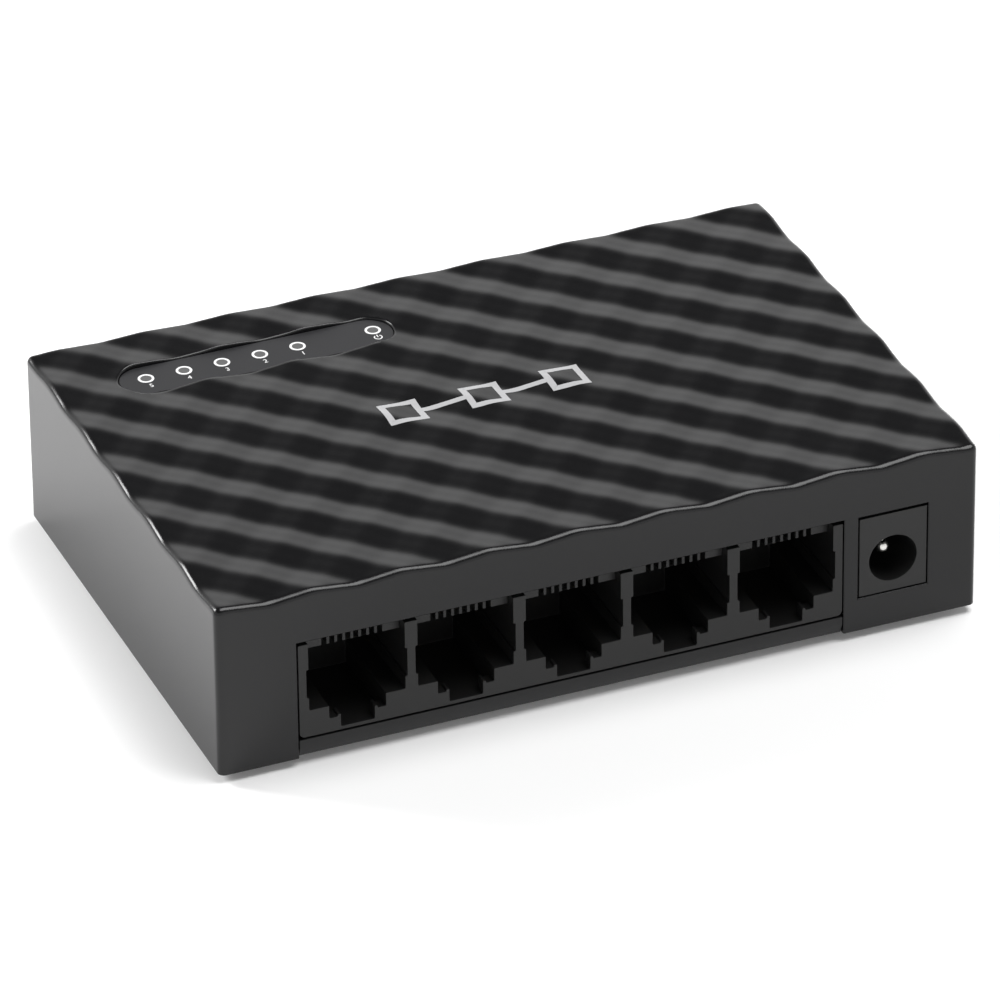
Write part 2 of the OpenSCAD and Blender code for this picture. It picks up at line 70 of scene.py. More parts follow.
SMOOTHEST = 0.02
OCTAVE_SHARE = 0.55
MERGE_WITHIN = 1e-6
FLAT_WITHIN = 0.5

Point = tuple[float, float, float]
Outline = list[tuple[float, float]]


# ---------------------------------------------------------------- materials


class NodeSheet:
    """A node tree that is filled one node at a time."""

    def __init__(self, tree: bpy.types.NodeTree) -> None:
        """Wraps a tree.

        Args:
            tree: The node tree to fill.
        """
        self.tree = tree

    def add(self, kind: str, **settings: object) -> bpy.types.Node:
        """Adds a node.

        Args:
            kind: The node's type name.
            settings: Properties to set on it.

        Returns:
            The new node.
        """
        node = self.tree.nodes.new(kind)
        for name, value in settings.items():
            setattr(node, name, value)
        return node

    def link(self, source: bpy.types.NodeSocket, target: bpy.types.NodeSocket) -> None:
        """Joins an output to an input.

        Args:
            source: The output.
            target: The input.
        """
        self.tree.links.new(source, target)

    def math(self, operation: str, *inputs: object) -> bpy.types.NodeSocket:
        """Adds a Math node.

        Args:
            operation: The node's operation.
            inputs: Sockets or plain numbers, in order.

        Returns:
            The node's output.
        """
        node = self.add("ShaderNodeMath", operation=operation)
        for socket, value in zip(node.inputs, inputs):
            if isinstance(value, bpy.types.NodeSocket):
                self.link(value, socket)
            else:
                socket.default_value = value
        return node.outputs[0]


@dataclass(frozen=True)
class Finish:
    """A surface finish with grain, mottling and uneven gloss.

    Attributes:
        name: The material's name.
        slot: The record's material slot that it stands for.
        color: Its mean colour, linear RGB.
        roughness: Its mean roughness.
        metallic: 1 for a bare metal.
        specular: Strength of the reflection of a non-metal.
        mottle: Share by which the colour varies from place to place.
        mottle_size: Size of the mottling, in millimetres.
        gloss_range: How far the roughness varies to each side of its mean.
        grain_size: Size of the surface grain, in millimetres.
        grain_depth: Depth of the surface grain, in millimetres.
        stretch: Factors that draw the grain out along X, Y and Z.
        coat: Weight of a clear coat.
        coat_roughness: Roughness of that coat.
        glow: Light that it gives off, for the floor of the studio.
    """

    name: str
    slot: str
    color: Point
    roughness: float
    metallic: float = 0.0
    specular: float = 0.5
    mottle: float = 0.12
    mottle_size: float = 6.0
    gloss_range: float = 0.05
    grain_size: float = 0.2
    grain_depth: float = 0.004
    stretch: Point = (1.0, 1.0, 1.0)
    coat: float = 0.0
    coat_roughness: float = 0.15
    glow: float = 0.0

    def material(self) -> bpy.types.Material:
        """Gives the material, and makes it the first time.

        Returns:
            The procedural material.
        """
        found = bpy.data.materials.get(self.name)
        if found is not None:
            return found
        material = bpy.data.materials.new(self.name)
        material.use_nodes = True
        material.node_tree.nodes.clear()
        sheet = NodeSheet(material.node_tree)
        shader = self.shader(sheet)
        output = sheet.add("ShaderNodeOutputMaterial")
        sheet.link(shader.outputs["BSDF"], output.inputs["Surface"])
        material.diffuse_color = (*self.color, 1.0)
        return material

    def noise(self, sheet: NodeSheet, place: bpy.types.NodeSocket, size_mm: float,
              detail: float) -> bpy.types.NodeSocket:
        """Adds a noise pattern.

        Args:
            sheet: The tree to add it to.
            place: The coordinates that it reads.
            size_mm: Size of its lumps.
            detail: Number of finer octaves.

        Returns:
            The pattern's value.
        """
        node = sheet.add("ShaderNodeTexNoise")
        node.inputs["Scale"].default_value = 1.0 / (size_mm * MM)
        node.inputs["Detail"].default_value = detail
        node.inputs["Roughness"].default_value = OCTAVE_SHARE
        sheet.link(place, node.inputs["Vector"])
        return node.outputs["Fac"]

    def shader(self, sheet: NodeSheet) -> bpy.types.Node:
        """Fills in the shader and its patterns.

        Args:
            sheet: The material's node tree.

        Returns:
            The Principled BSDF node.
        """
        coordinates = sheet.add("ShaderNodeTexCoord")
        mapping = sheet.add("ShaderNodeMapping")
        mapping.inputs["Scale"].default_value = self.stretch
        sheet.link(coordinates.outputs["Object"], mapping.inputs["Vector"])
        place = mapping.outputs["Vector"]
        shader = sheet.add("ShaderNodeBsdfPrincipled")
        shader.inputs["Metallic"].default_value = self.metallic
        shader.inputs["Specular IOR Level"].default_value = self.specular
        shader.inputs["Coat Weight"].default_value = self.coat
        shader.inputs["Coat Roughness"].default_value = self.coat_roughness

        broad = self.noise(sheet, place, self.mottle_size, 3.0)
        tones = sheet.add("ShaderNodeMapRange")
        tones.inputs["To Min"].default_value = 1.0 - self.mottle
        tones.inputs["To Max"].default_value = 1.0 + self.mottle
        sheet.link(broad, tones.inputs["Value"])
        tint = sheet.add("ShaderNodeVectorMath", operation="SCALE")
        tint.inputs[0].default_value = self.color
        sheet.link(tones.outputs["Result"], tint.inputs["Scale"])
        sheet.link(tint.outputs["Vector"], shader.inputs["Base Color"])
        shader.inputs["Emission Color"].default_value = (1.0, 1.0, 1.0, 1.0)
        shader.inputs["Emission Strength"].default_value = self.glow

        fine = self.noise(sheet, place, self.grain_size, 2.0)
        gloss = sheet.add("ShaderNodeMapRange")
        gloss.inputs["To Min"].default_value = max(SMOOTHEST, self.roughness - self.gloss_range)
        gloss.inputs["To Max"].default_value = min(1.0, self.roughness + self.gloss_range)
        sheet.link(sheet.math("MULTIPLY", sheet.math("ADD", broad, fine), 0.5), gloss.inputs["Value"])
        sheet.link(gloss.outputs["Result"], shader.inputs["Roughness"])

        bump = sheet.add("ShaderNodeBump")
        bump.inputs["Strength"].default_value = 1.0
        bump.inputs["Distance"].default_value = self.grain_depth * MM
        sheet.link(fine, bump.inputs["Height"])
        sheet.link(bump.outputs["Normal"], shader.inputs["Normal"])
        return shader


class Finishes:
    """Every finish of the switch."""

    case = Finish("case_black", "case_plastic", (0.0065, 0.0065, 0.007), 0.22, specular=0.36,
                  grain_size=0.16, grain_depth=0.004, mottle_size=9.0)
    base = Finish("base_black", "base_plastic", (0.008, 0.008, 0.0085), 0.4, specular=0.35,
                  grain_size=0.2, grain_depth=0.008)
    jack = Finish("socket_black", "jack_plastic", (0.007, 0.007, 0.007), 0.4, specular=0.4,
                  grain_size=0.12, grain_depth=0.003, mottle_size=3.0)
    inlet = Finish("inlet_black", "inlet_plastic", (0.009, 0.009, 0.009), 0.4, specular=0.4,
                   grain_size=0.12, grain_depth=0.003, mottle_size=3.0)
    film = Finish("tinted_film", "window_film", (0.019, 0.019, 0.021), 0.5, grain_size=0.1,
                  grain_depth=0.002, mottle=0.08)
    ink = Finish("white_ink", "window_film", (0.85, 0.85, 0.85), 0.55, grain_size=0.05,
                 grain_depth=0.001, mottle=0.03, mottle_size=0.5)
    silver_ink = Finish("silver_ink", "case_plastic", (0.55, 0.55, 0.56), 0.45, metallic=0.35,
                        grain_size=0.06, grain_depth=0.002, mottle=0.06, mottle_size=1.0)
    lens = Finish("clear_lens", "window_film", (0.1, 0.1, 0.1), 0.3, grain_size=0.1,
                  grain_depth=0.001)
    laminate = Finish("green_mask", "board_laminate", (0.012, 0.12, 0.05), 0.32, coat=0.4,
                      grain_size=0.35, grain_depth=0.004, mottle_size=4.0)
    steel = Finish("zinc_steel", "screw_steel", (0.55, 0.55, 0.57), 0.32, metallic=1.0,
                   grain_size=0.1, grain_depth=0.002, mottle_size=1.0)
    paper = Finish("label_film", "label_paper", (0.72, 0.72, 0.7), 0.6, grain_size=0.15,
                   grain_depth=0.002, mottle=0.03)
    rubber = Finish("foot_black", "foot_rubber", (0.02, 0.02, 0.02), 0.75, grain_size=0.25,
                    grain_depth=0.01, mottle=0.2, mottle_size=2.0)
    lamp = Finish("lamp_resin", "light_body", (0.7, 0.74, 0.6), 0.25, coat=0.5, grain_size=0.1,
                  grain_depth=0.001)
    gold = Finish("gold_wire", "contact_gold", (0.83, 0.58, 0.2), 0.25, metallic=1.0,
                  grain_size=0.05, grain_depth=0.001, mottle_size=0.6)
    nickel = Finish("nickel_pin", "pin_nickel", (0.75, 0.74, 0.71), 0.18, metallic=1.0,
                    grain_size=0.08, grain_depth=0.001, mottle_size=0.8)
    spring_tin = Finish("tin_strip", "terminal_tin", (0.68, 0.67, 0.64), 0.3, metallic=1.0,
                        grain_size=0.08, grain_depth=0.001, mottle_size=1.0)
    lead_tin = Finish("tin_lead", "lead_tin", (0.6, 0.6, 0.62), 0.45, metallic=1.0,
                      grain_size=0.06, grain_depth=0.001, mottle_size=0.5)
    epoxy = Finish("moulded_black", "moulded_epoxy", (0.015, 0.015, 0.016), 0.65, grain_size=0.1,
                   grain_depth=0.006, mottle_size=2.0)
    can = Finish("crystal_can", "can_steel", (0.62, 0.62, 0.6), 0.28, metallic=1.0,
                 grain_size=0.3, grain_depth=0.002, stretch=(1.0, 1.0, 8.0))
    sleeve = Finish("capacitor_film", "capacitor_sleeve", (0.012, 0.018, 0.05), 0.25, coat=0.5,
                    grain_size=0.3, grain_depth=0.002)
    ferrite = Finish("grey_ferrite", "ferrite", (0.05, 0.05, 0.052), 0.7, grain_size=0.12,
                     grain_depth=0.01, mottle=0.25, mottle_size=1.0)
    resistor = Finish("resistor_glaze", "resistor_film", (0.01, 0.01, 0.01), 0.3, grain_size=0.1,
                      grain_depth=0.001)
    ceramic = Finish("tan_ceramic", "capacitor_ceramic", (0.34, 0.22, 0.12), 0.55,
                     grain_size=0.1, grain_depth=0.003, mottle_size=0.8)
    label_ink = Finish("grey_ink", "label_paper", (0.05, 0.05, 0.05), 0.6, grain_size=0.1,
                       grain_depth=0.001, mottle=0.03)
    floor = Finish("pale_floor", "", (0.97, 0.97, 0.97), 0.8, grain_size=1.5, grain_depth=0.01,
                   mottle=0.01, mottle_size=60.0, specular=0.2, glow=0.05)


# ---------------------------------------------------------------- mesh helpers


def mesh_object(name: str, mesh: bpy.types.Mesh) -> bpy.types.Object:
    """Puts a mesh in the scene.

    Args:
        name: The object's name.
        mesh: Its mesh, already in place.

    Returns:
        The new object, at the origin.
    """
    piece = bpy.data.objects.new(name, mesh)
    bpy.context.scene.collection.objects.link(piece)
    return piece


def from_bmesh(name: str, form: bmesh.types.BMesh) -> bpy.types.Object:
    """Turns a bmesh into an object and frees it.

    Args:
        name: The object's name.
        form: The bmesh.

    Returns:
        The new object.
    """
    mesh = bpy.data.meshes.new(name)
    form.to_mesh(mesh)
    form.free()
    return mesh_object(name, mesh)


def soften(piece: bpy.types.Object, sharp_above: float = 32.0) -> bpy.types.Object:
    """Shades a piece smooth, but keeps its sharp edges.

    Args:
        piece: A mesh object.
        sharp_above: Angle in degrees past which an edge stays sharp.

    Returns:
        The same object.
    """
    form = bmesh.new()
    form.from_mesh(piece.data)
    limit = math.radians(sharp_above)
    for edge in form.edges:
        edge.smooth = len(edge.link_faces) == 2 and edge.calc_face_angle(0.0) < limit
    for face in form.faces:
        face.smooth = True
    form.to_mesh(piece.data)
    form.free()
    return piece


def evaluated_mesh(piece: bpy.types.Object) -> bpy.types.Mesh:
    """Gives the mesh that a piece's modifiers make.

    Args:
        piece: An object with modifiers.

    Returns:
        A new, plain mesh.
    """
    depsgraph = bpy.context.evaluated_depsgraph_get()
    depsgraph.update()
    return bpy.data.meshes.new_from_object(piece.evaluated_get(depsgraph), depsgraph=depsgraph)


def bake(piece: bpy.types.Object) -> bpy.types.Object:
    """Applies all of a piece's modifiers.

    Args:
        piece: An object with modifiers.

    Returns:
        The same object, with a plain mesh.
    """
    mesh = evaluated_mesh(piece)
    piece.modifiers.clear()
    piece.data = mesh
    return piece


def cut(piece: bpy.types.Object, tools: Sequence[bpy.types.Object],
        operation: str = "DIFFERENCE") -> bpy.types.Object:
    """Cuts solids out of a piece, or joins them to it, and deletes them.

    Args:
        piece: The piece that is changed.
        tools: Closed solids.
        operation: DIFFERENCE, UNION or INTERSECT.

    Returns:
        The same piece, with a plain mesh.
    """
    for tool in tools:
        modifier = piece.modifiers.new("cut", "BOOLEAN")
        modifier.operation = operation
        modifier.solver = "EXACT"
        modifier.object = tool
        bake(piece)
        bpy.data.objects.remove(tool)
    return piece


def block(name: str, low: Point, high: Point) -> bpy.types.Object:
    """Makes a plain box between two corners, for cutting with.

    Args:
        name: The object's name.
        low: Its lowest corner, in metres.
        high: Its highest corner, in metres.

    Returns:
        The box.
    """
    form = bmesh.new()
    bmesh.ops.create_cube(form, size=1.0)
    middle = (Vector(low) + Vector(high)) / 2
    sizes = Vector(high) - Vector(low)
    bmesh.ops.transform(form, matrix=Matrix.Translation(middle) @ Matrix.Diagonal((*sizes, 1.0)),
                        verts=form.verts)
    return from_bmesh(name, form)


def stack_rings(name: str, rings: Sequence[Sequence[Point]]) -> bpy.types.Object:
    """Skins a closed solid over rings of equal length, with a face at each end.

    Args:
        name: The object's name.
        rings: The rings, each counter-clockwise when looked at from the last ring's side.

    Returns:
        The solid.
    """
    form = bmesh.new()
    rows = [[form.verts.new(point) for point in ring] for ring in rings]
    count = len(rows[0])
    for lower, upper in zip(rows, rows[1:]):
        for a in range(count):
            b = (a + 1) % count
            form.faces.new((lower[a], lower[b], upper[b], upper[a]))
    form.faces.new(rows[0][::-1])
    form.faces.new(rows[-1])
    return from_bmesh(name, form)


def turned(name: str, profile: Outline, place: Matrix, steps: int = 48) -> bpy.types.Object:
    """Turns a profile into a closed solid of revolution.

    Args:
        name: The object's name.
        profile: Radius and height of each ring, in metres, from the bottom up.
        place: Where its axis and base go.
        steps: Number of steps round the axis.

    Returns:
        The solid.
    """
    rings = []
    for radius, height in profile:
        ring = []
        for step in range(steps):
            angle = 2 * math.pi * step / steps
            local = Vector((radius * math.cos(angle), radius * math.sin(angle), height))
            ring.append(tuple(place @ local))
        rings.append(ring)
    return soften(stack_rings(name, rings))


def oblong(length: float, width: float, steps: int = 24, side_step: float = 0.4 * MM) -> Outline:
    """Gives the outline of an oblong with round ends, counter-clockwise.

    Args:
        length: Its length along X.
        width: Its width.
        steps: Points on each round end.
        side_step: Distance between points on its straight sides.

    Returns:
        The outline, centred on the origin.
    """
    radius = width / 2
    reach = length / 2 - radius
    spans = max(1, round(2 * reach / side_step))
    points: Outline = []
    for side, start in ((1, -90.0), (-1, 90.0)):
        for step in range(steps + 1):
            angle = math.radians(start + 180.0 * step / steps)
            points.append((side * reach + radius * math.cos(angle), radius * math.sin(angle)))
        points += [(side * reach * (1 - 2 * step / spans), side * radius)
                   for step in range(1, spans)]
    return points


def rounded_copy(name: str, node: str, radius: float, segments: int = 2,
                 above: float = 40.0) -> bpy.types.Object:
    """Copies a CAD node and rounds its edges.

    Args:
        name: The new piece's name.
        node: The CAD node.
        radius: Radius of the edges, in metres.
        segments: Steps across each edge.
        above: Smallest angle between faces, in degrees, that is rounded.

    Returns:
        The new piece, which replaces the node.
    """
    mesh = frame["nodes"][node].data.copy()
    mesh.materials.clear()
    form = bmesh.new()
    form.from_mesh(mesh)
    bmesh.ops.remove_doubles(form, verts=form.verts, dist=MERGE_WITHIN)
    bmesh.ops.dissolve_limit(form, angle_limit=math.radians(FLAT_WITHIN),
                             verts=form.verts, edges=form.edges)
    form.to_mesh(mesh)
    form.free()
    piece = mesh_object(name, mesh)
    bevel = piece.modifiers.new("edges", "BEVEL")
    bevel.width = radius
    bevel.segments = segments
    bevel.limit_method = "ANGLE"
    bevel.angle_limit = math.radians(above)
    bake(piece)
    soften(piece)
    weights = piece.modifiers.new("flat_faces", "WEIGHTED_NORMAL")
    weights.keep_sharp = True
    bake(piece)
    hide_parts(node)
    return piece


def finish_piece(piece: bpy.types.Object, finish: Finish, body: str = SWITCH_BODY) -> None:
    """Gives a piece its material and the body that it rides on.

    Args:
        piece: The piece.
        finish: Its finish.
        body: The CAD body.
    """
    piece.data.materials.clear()
    piece.data.materials.append(finish.material())
    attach(piece, body)


def dress_node(node: str, finish: Finish) -> None:
    """Gives a CAD node that stays as it is its material.

    Args:
        node: The node's name.
        finish: Its finish.
    """
    piece = frame["nodes"][node]
    material = finish.material()
    if not piece.material_slots:
        piece.data.materials.append(material)
    for slot in piece.material_slots:
        slot.material = material


# ---------------------------------------------------------------- geometry nodes


class GeometryTree(NodeSheet):
    """A geometry node tree with named inputs, which a modifier can use."""

    def __init__(self, name: str) -> None:
        """Starts an empty tree.

        Args:
            name: The tree's name.
        """
        tree = bpy.data.node_groups.new(name, "GeometryNodeTree")
        tree.is_modifier = True
        super().__init__(tree)
        tree.interface.new_socket("Geometry", in_out="INPUT", socket_type="NodeSocketGeometry")
        tree.interface.new_socket("Geometry", in_out="OUTPUT", socket_type="NodeSocketGeometry")
        self.source = self.add("NodeGroupInput")
        self.result = self.add("NodeGroupOutput")
        self.identifiers: dict[str, str] = {}

    def input(self, name: str, kind: str, default: object = None) -> bpy.types.NodeSocket:
        """Adds a named input.

        Args:
            name: The input's name.
            kind: Its socket type.
            default: Its value when a modifier sets none.

        Returns:
            The input's socket inside the tree.
        """
        item = self.tree.interface.new_socket(name, in_out="INPUT", socket_type=kind)
        if default is not None:
            item.default_value = default
        self.identifiers[name] = item.identifier
        return self.source.outputs[name]

    def finish(self, geometry: bpy.types.NodeSocket, realize: bool) -> None:
        """Ends the tree in its material, after real geometry where it has copies.

        Args:
            geometry: The tree's result so far.
            realize: Whether it holds instances.
        """
        material = self.input("Material", "NodeSocketMaterial")
        if realize:
            real = self.add("GeometryNodeRealizeInstances")
            self.link(geometry, real.inputs["Geometry"])
            geometry = real.outputs["Geometry"]
        dressed = self.add("GeometryNodeSetMaterial")
        self.link(geometry, dressed.inputs["Geometry"])
        self.link(material, dressed.inputs["Material"])
        self.link(dressed.outputs["Geometry"], self.result.inputs["Geometry"])

    def use_on(self, piece: bpy.types.Object, values: dict[str, object]) -> None:
        """Puts the tree on a piece as a modifier and sets its inputs.

        Args:
            piece: The piece.
            values: Input names and their values.
        """
        modifier = piece.modifiers.new(self.tree.name, "NODES")
        modifier.node_group = self.tree
        for name, value in values.items():
            modifier[self.identifiers[name]] = value


class Spread(Enum):
    """How copies are set out."""

    ROW = "row"
    CORNERS = "corners"
    WIRES = "wires"


class Copies:
    """Geometry node trees that set out copies of a piece."""

    _trees: dict[Spread, GeometryTree] = {}

    @classmethod
    def tree(cls, spread: Spread) -> GeometryTree:
        """Gives the tree for a spread, and builds it the first time.

        Args:
            spread: How the copies stand.

        Returns:
            The tree.
        """
        builders = {Spread.ROW: cls.row, Spread.CORNERS: cls.corners, Spread.WIRES: cls.wires}
        if spread not in cls._trees:
            cls._trees[spread] = builders[spread]()
        return cls._trees[spread]

    @staticmethod
    def scatter(sheet: GeometryTree, points: bpy.types.NodeSocket,
                copied: bpy.types.NodeSocket) -> None:
        """Puts a copy on each point and ends the tree.

        Args:
            sheet: The tree.
            points: The points' geometry.
            copied: What is copied.
        """
        copies = sheet.add("GeometryNodeInstanceOnPoints")
        sheet.link(points, copies.inputs["Points"])
        sheet.link(copied, copies.inputs["Instance"])
        sheet.finish(copies.outputs["Instances"], realize=True)

    @staticmethod
    def line(sheet: GeometryTree) -> bpy.types.NodeSocket:
        """Adds the points of a straight row, with inputs Count and Step.

        Args:
            sheet: The tree.

        Returns:
            The points' geometry.
        """
        line = sheet.add("GeometryNodeMeshLine", mode="OFFSET")
        sheet.link(sheet.input("Count", "NodeSocketInt", 2), line.inputs["Count"])
        sheet.link(sheet.input("Step", "NodeSocketVector", (1.0, 0.0, 0.0)), line.inputs["Offset"])
        return line.outputs["Mesh"]

    @classmethod
    def row(cls) -> GeometryTree:
        """Builds the tree for a straight row.

        Returns:
            The tree, with inputs Count and Step.
        """
        sheet = GeometryTree("row_of_copies")
        cls.scatter(sheet, cls.line(sheet), sheet.source.outputs["Geometry"])
        return sheet

    @classmethod
    def corners(cls) -> GeometryTree:
        """Builds the tree for the corners of a rectangle on the origin.

        Returns:
            The tree, with inputs Length and Width.
        """
        sheet = GeometryTree("corner_copies")
        grid = sheet.add("GeometryNodeMeshGrid")
        grid.inputs["Vertices X"].default_value = 2
        grid.inputs["Vertices Y"].default_value = 2
        sheet.link(sheet.input("Length", "NodeSocketFloat", 1.0), grid.inputs["Size X"])
        sheet.link(sheet.input("Width", "NodeSocketFloat", 1.0), grid.inputs["Size Y"])
        cls.scatter(sheet, grid.outputs["Mesh"], sheet.source.outputs["Geometry"])
        return sheet

    @classmethod
    def wires(cls) -> GeometryTree:
        """Builds the tree that turns bent lines into a row of round wires.

        Returns:
            The tree, with inputs Diameter, Bend, Count and Step.
        """
        sheet = GeometryTree("row_of_wires")
        diameter = sheet.input("Diameter", "NodeSocketFloat", 0.0004)
        bend = sheet.input("Bend", "NodeSocketFloat", 0.0003)
        path = sheet.add("GeometryNodeMeshToCurve")
        sheet.link(sheet.source.outputs["Geometry"], path.inputs["Mesh"])
        fillet = sheet.add("GeometryNodeFilletCurve", mode="POLY")
        fillet.inputs["Count"].default_value = 5
        sheet.link(path.outputs["Curve"], fillet.inputs["Curve"])
        sheet.link(bend, fillet.inputs["Radius"])
        section = sheet.add("GeometryNodeCurvePrimitiveCircle")
        section.inputs["Resolution"].default_value = 10
        sheet.link(sheet.math("MULTIPLY", diameter, 0.5), section.inputs["Radius"])
        tube = sheet.add("GeometryNodeCurveToMesh")
        tube.inputs["Fill Caps"].default_value = True
        sheet.link(fillet.outputs["Curve"], tube.inputs["Curve"])
        sheet.link(section.outputs["Curve"], tube.inputs["Profile Curve"])
        cls.scatter(sheet, cls.line(sheet), tube.outputs["Mesh"])
        return sheet


def copies_of(name: str, master: bpy.types.Object, finish: Finish, spread: Spread,
              **values: object) -> bpy.types.Object:
    """Makes one mesh of several copies of a piece.

    Args:
        name: The new piece's name.
        master: The piece, where its first copy stands; it is used up.
        finish: Its finish.
        spread: How the copies stand.
        values: The spread's inputs, with lower-case names.

    Returns:
        The new piece.
    """
    sheet = Copies.tree(spread)
    inputs = {key.capitalize(): value for key, value in values.items()}
    sheet.use_on(master, {**inputs, "Material": finish.material()})
    bake(master)
    master.name = name
    return master


# ---------------------------------------------------------------- case


@dataclass(frozen=True)
class ScrewSize:
    """The sizes of one kind of screw.

    Attributes:
        head: Radius of its head.
        height: Height of its head.
        shank: Radius of its shank.
    """

    head: float
    height: float
    shank: float


CASE_SCREW = ScrewSize(head=2.4 * MM, height=1.4 * MM, shank=1.25 * MM)
BOARD_SCREW = ScrewSize(head=2.0 * MM, height=1.3 * MM, shank=1.05 * MM)


@dataclass
class WavyTop:
    """The two crossing sets of ridges on the top of the case.

    Attributes:
        pitch: Distance between crests along an edge, in metres.
        main: Half height of the main ridges.
        cross: Half height of the ridges that cross them.
        main_crest: Place of a main crest line, as x + y.
        cross_crest: Place of a crossing crest line, as x - y.
        crispness: Share of the third harmonic, which makes slopes straight and crests narrow.
    """

    pitch: float = 11.34 * MM
    main: float = 0.2 * MM
    cross: float = 0.08 * MM
    main_crest: float = -1.47 * MM
    cross_crest: float = -3.96 * MM
    crispness: float = 0.105
    sheet: Optional[GeometryTree] = None

    def ridge(self, sheet: GeometryTree, place: bpy.types.NodeSocket,
              pitch: bpy.types.NodeSocket, height: bpy.types.NodeSocket,
              crisp: bpy.types.NodeSocket) -> bpy.types.NodeSocket:
        """Adds the height of one set of ridges.

        Args:
            sheet: The tree.
            place: Distance across the ridges from a crest.
            pitch: Distance between crests.
            height: Half height of the ridges.
            crisp: Share of the third harmonic.

        Returns:
            The height.
        """
        turn = sheet.math("DIVIDE", sheet.math("MULTIPLY", place, 2 * math.pi), pitch)
        first = sheet.math("COSINE", turn)
        third = sheet.math("COSINE", sheet.math("MULTIPLY", turn, 3.0))
        shape = sheet.math("ADD", first, sheet.math("MULTIPLY", third, crisp))
        full = sheet.math("ADD", 1.0, crisp)
        return sheet.math("MULTIPLY", sheet.math("DIVIDE", shape, full), height)

    def rise(self, sheet: GeometryTree, height: bpy.types.NodeSocket,
             low: bpy.types.NodeSocket, high: bpy.types.NodeSocket) -> bpy.types.NodeSocket:
        """Adds a smooth step from 0 below low to 1 above high.

        Args:
            sheet: The tree.
            height: The value that is tested.
            low: Where the step starts.
            high: Where it ends.

        Returns:
            The step's value.
        """
        step = sheet.add("ShaderNodeMapRange", interpolation_type="SMOOTHSTEP")
        sheet.link(height, step.inputs["Value"])
        sheet.link(low, step.inputs["From Min"])
        sheet.link(high, step.inputs["From Max"])
        return step.outputs["Result"]

    def tree(self) -> GeometryTree:
        """Builds the tree that lifts the top into waves, once.

        Returns:
            The tree, with inputs for the waves, the heights where they fade out, and the window's
            surroundings, where they fade out closer to the top.
        """
        if self.sheet is not None:
            return self.sheet
        sheet = GeometryTree("wavy_top")
        length = "NodeSocketFloat"
        names = ("Pitch", "Main", "Cross", "Main crest", "Cross crest", "Crispness", "Fade low",
                 "Fade high", "Near low", "Near high", "Near x", "Near y", "Near half length",
                 "Near half width")
        given = {name: sheet.input(name, length, 0.0) for name in names}
        position = sheet.add("GeometryNodeInputPosition")
        parts = sheet.add("ShaderNodeSeparateXYZ")
        sheet.link(position.outputs["Position"], parts.inputs["Vector"])
        x, y, z = (parts.outputs[axis] for axis in "XYZ")
        across_main = sheet.math("SUBTRACT", sheet.math("ADD", x, y), given["Main crest"])
        across_cross = sheet.math("SUBTRACT", sheet.math("SUBTRACT", x, y), given["Cross crest"])
        main = self.ridge(sheet, across_main, given["Pitch"], given["Main"], given["Crispness"])
        cross = self.ridge(sheet, across_cross, given["Pitch"], given["Cross"], given["Crispness"])
        beside = [
            sheet.math("LESS_THAN",
                       sheet.math("ABSOLUTE", sheet.math("SUBTRACT", value, given[middle])),
                       given[half])
            for value, middle, half in ((x, "Near x", "Near half length"),
                                        (y, "Near y", "Near half width"))
        ]
        near = sheet.math("MULTIPLY", *beside)
        far_rise = self.rise(sheet, z, given["Fade low"], given["Fade high"])
        near_rise = self.rise(sheet, z, given["Near low"], given["Near high"])
        gain = sheet.math("ADD", sheet.math("MULTIPLY", near, near_rise),
                          sheet.math("MULTIPLY", sheet.math("SUBTRACT", 1.0, near), far_rise))
        lift = sheet.math("MULTIPLY", sheet.math("ADD", main, cross), gain)
        offset = sheet.add("ShaderNodeCombineXYZ")
        sheet.link(lift, offset.inputs["Z"])
        moved = sheet.add("GeometryNodeSetPosition")
        sheet.link(sheet.source.outputs["Geometry"], moved.inputs["Geometry"])
        sheet.link(offset.outputs["Vector"], moved.inputs["Offset"])
        sheet.finish(moved.outputs["Geometry"], realize=False)
        self.sheet = sheet
        return sheet

    def lift(self, piece: bpy.types.Object, finish: Finish, fade: tuple[float, float],
             near: tuple[float, float] = (0.0, 1.0), spot: Point = (0.0, 0.0, 0.0),
             reach: tuple[float, float] = (0.0, 0.0)) -> None:
        """Puts the waves on a piece.

        Args:
            piece: A finely divided piece.
            finish: Its finish.
            fade: Heights between which the waves fade in.
            near: The same, around the light window.
            spot: Middle of the light window.
            reach: Half length and half width of the window's surroundings.
        """
        values = {
            "Pitch": self.pitch, "Main": self.main, "Cross": self.cross,
            "Main crest": self.main_crest, "Cross crest": self.cross_crest,
            "Crispness": self.crispness, "Fade low": fade[0], "Fade high": fade[1],
            "Near low": near[0], "Near high": near[1], "Near x": spot[0], "Near y": spot[1],
            "Near half length": reach[0], "Near half width": reach[1],
            "Material": finish.material(),
        }
        self.tree().use_on(piece, values)
        bake(piece)


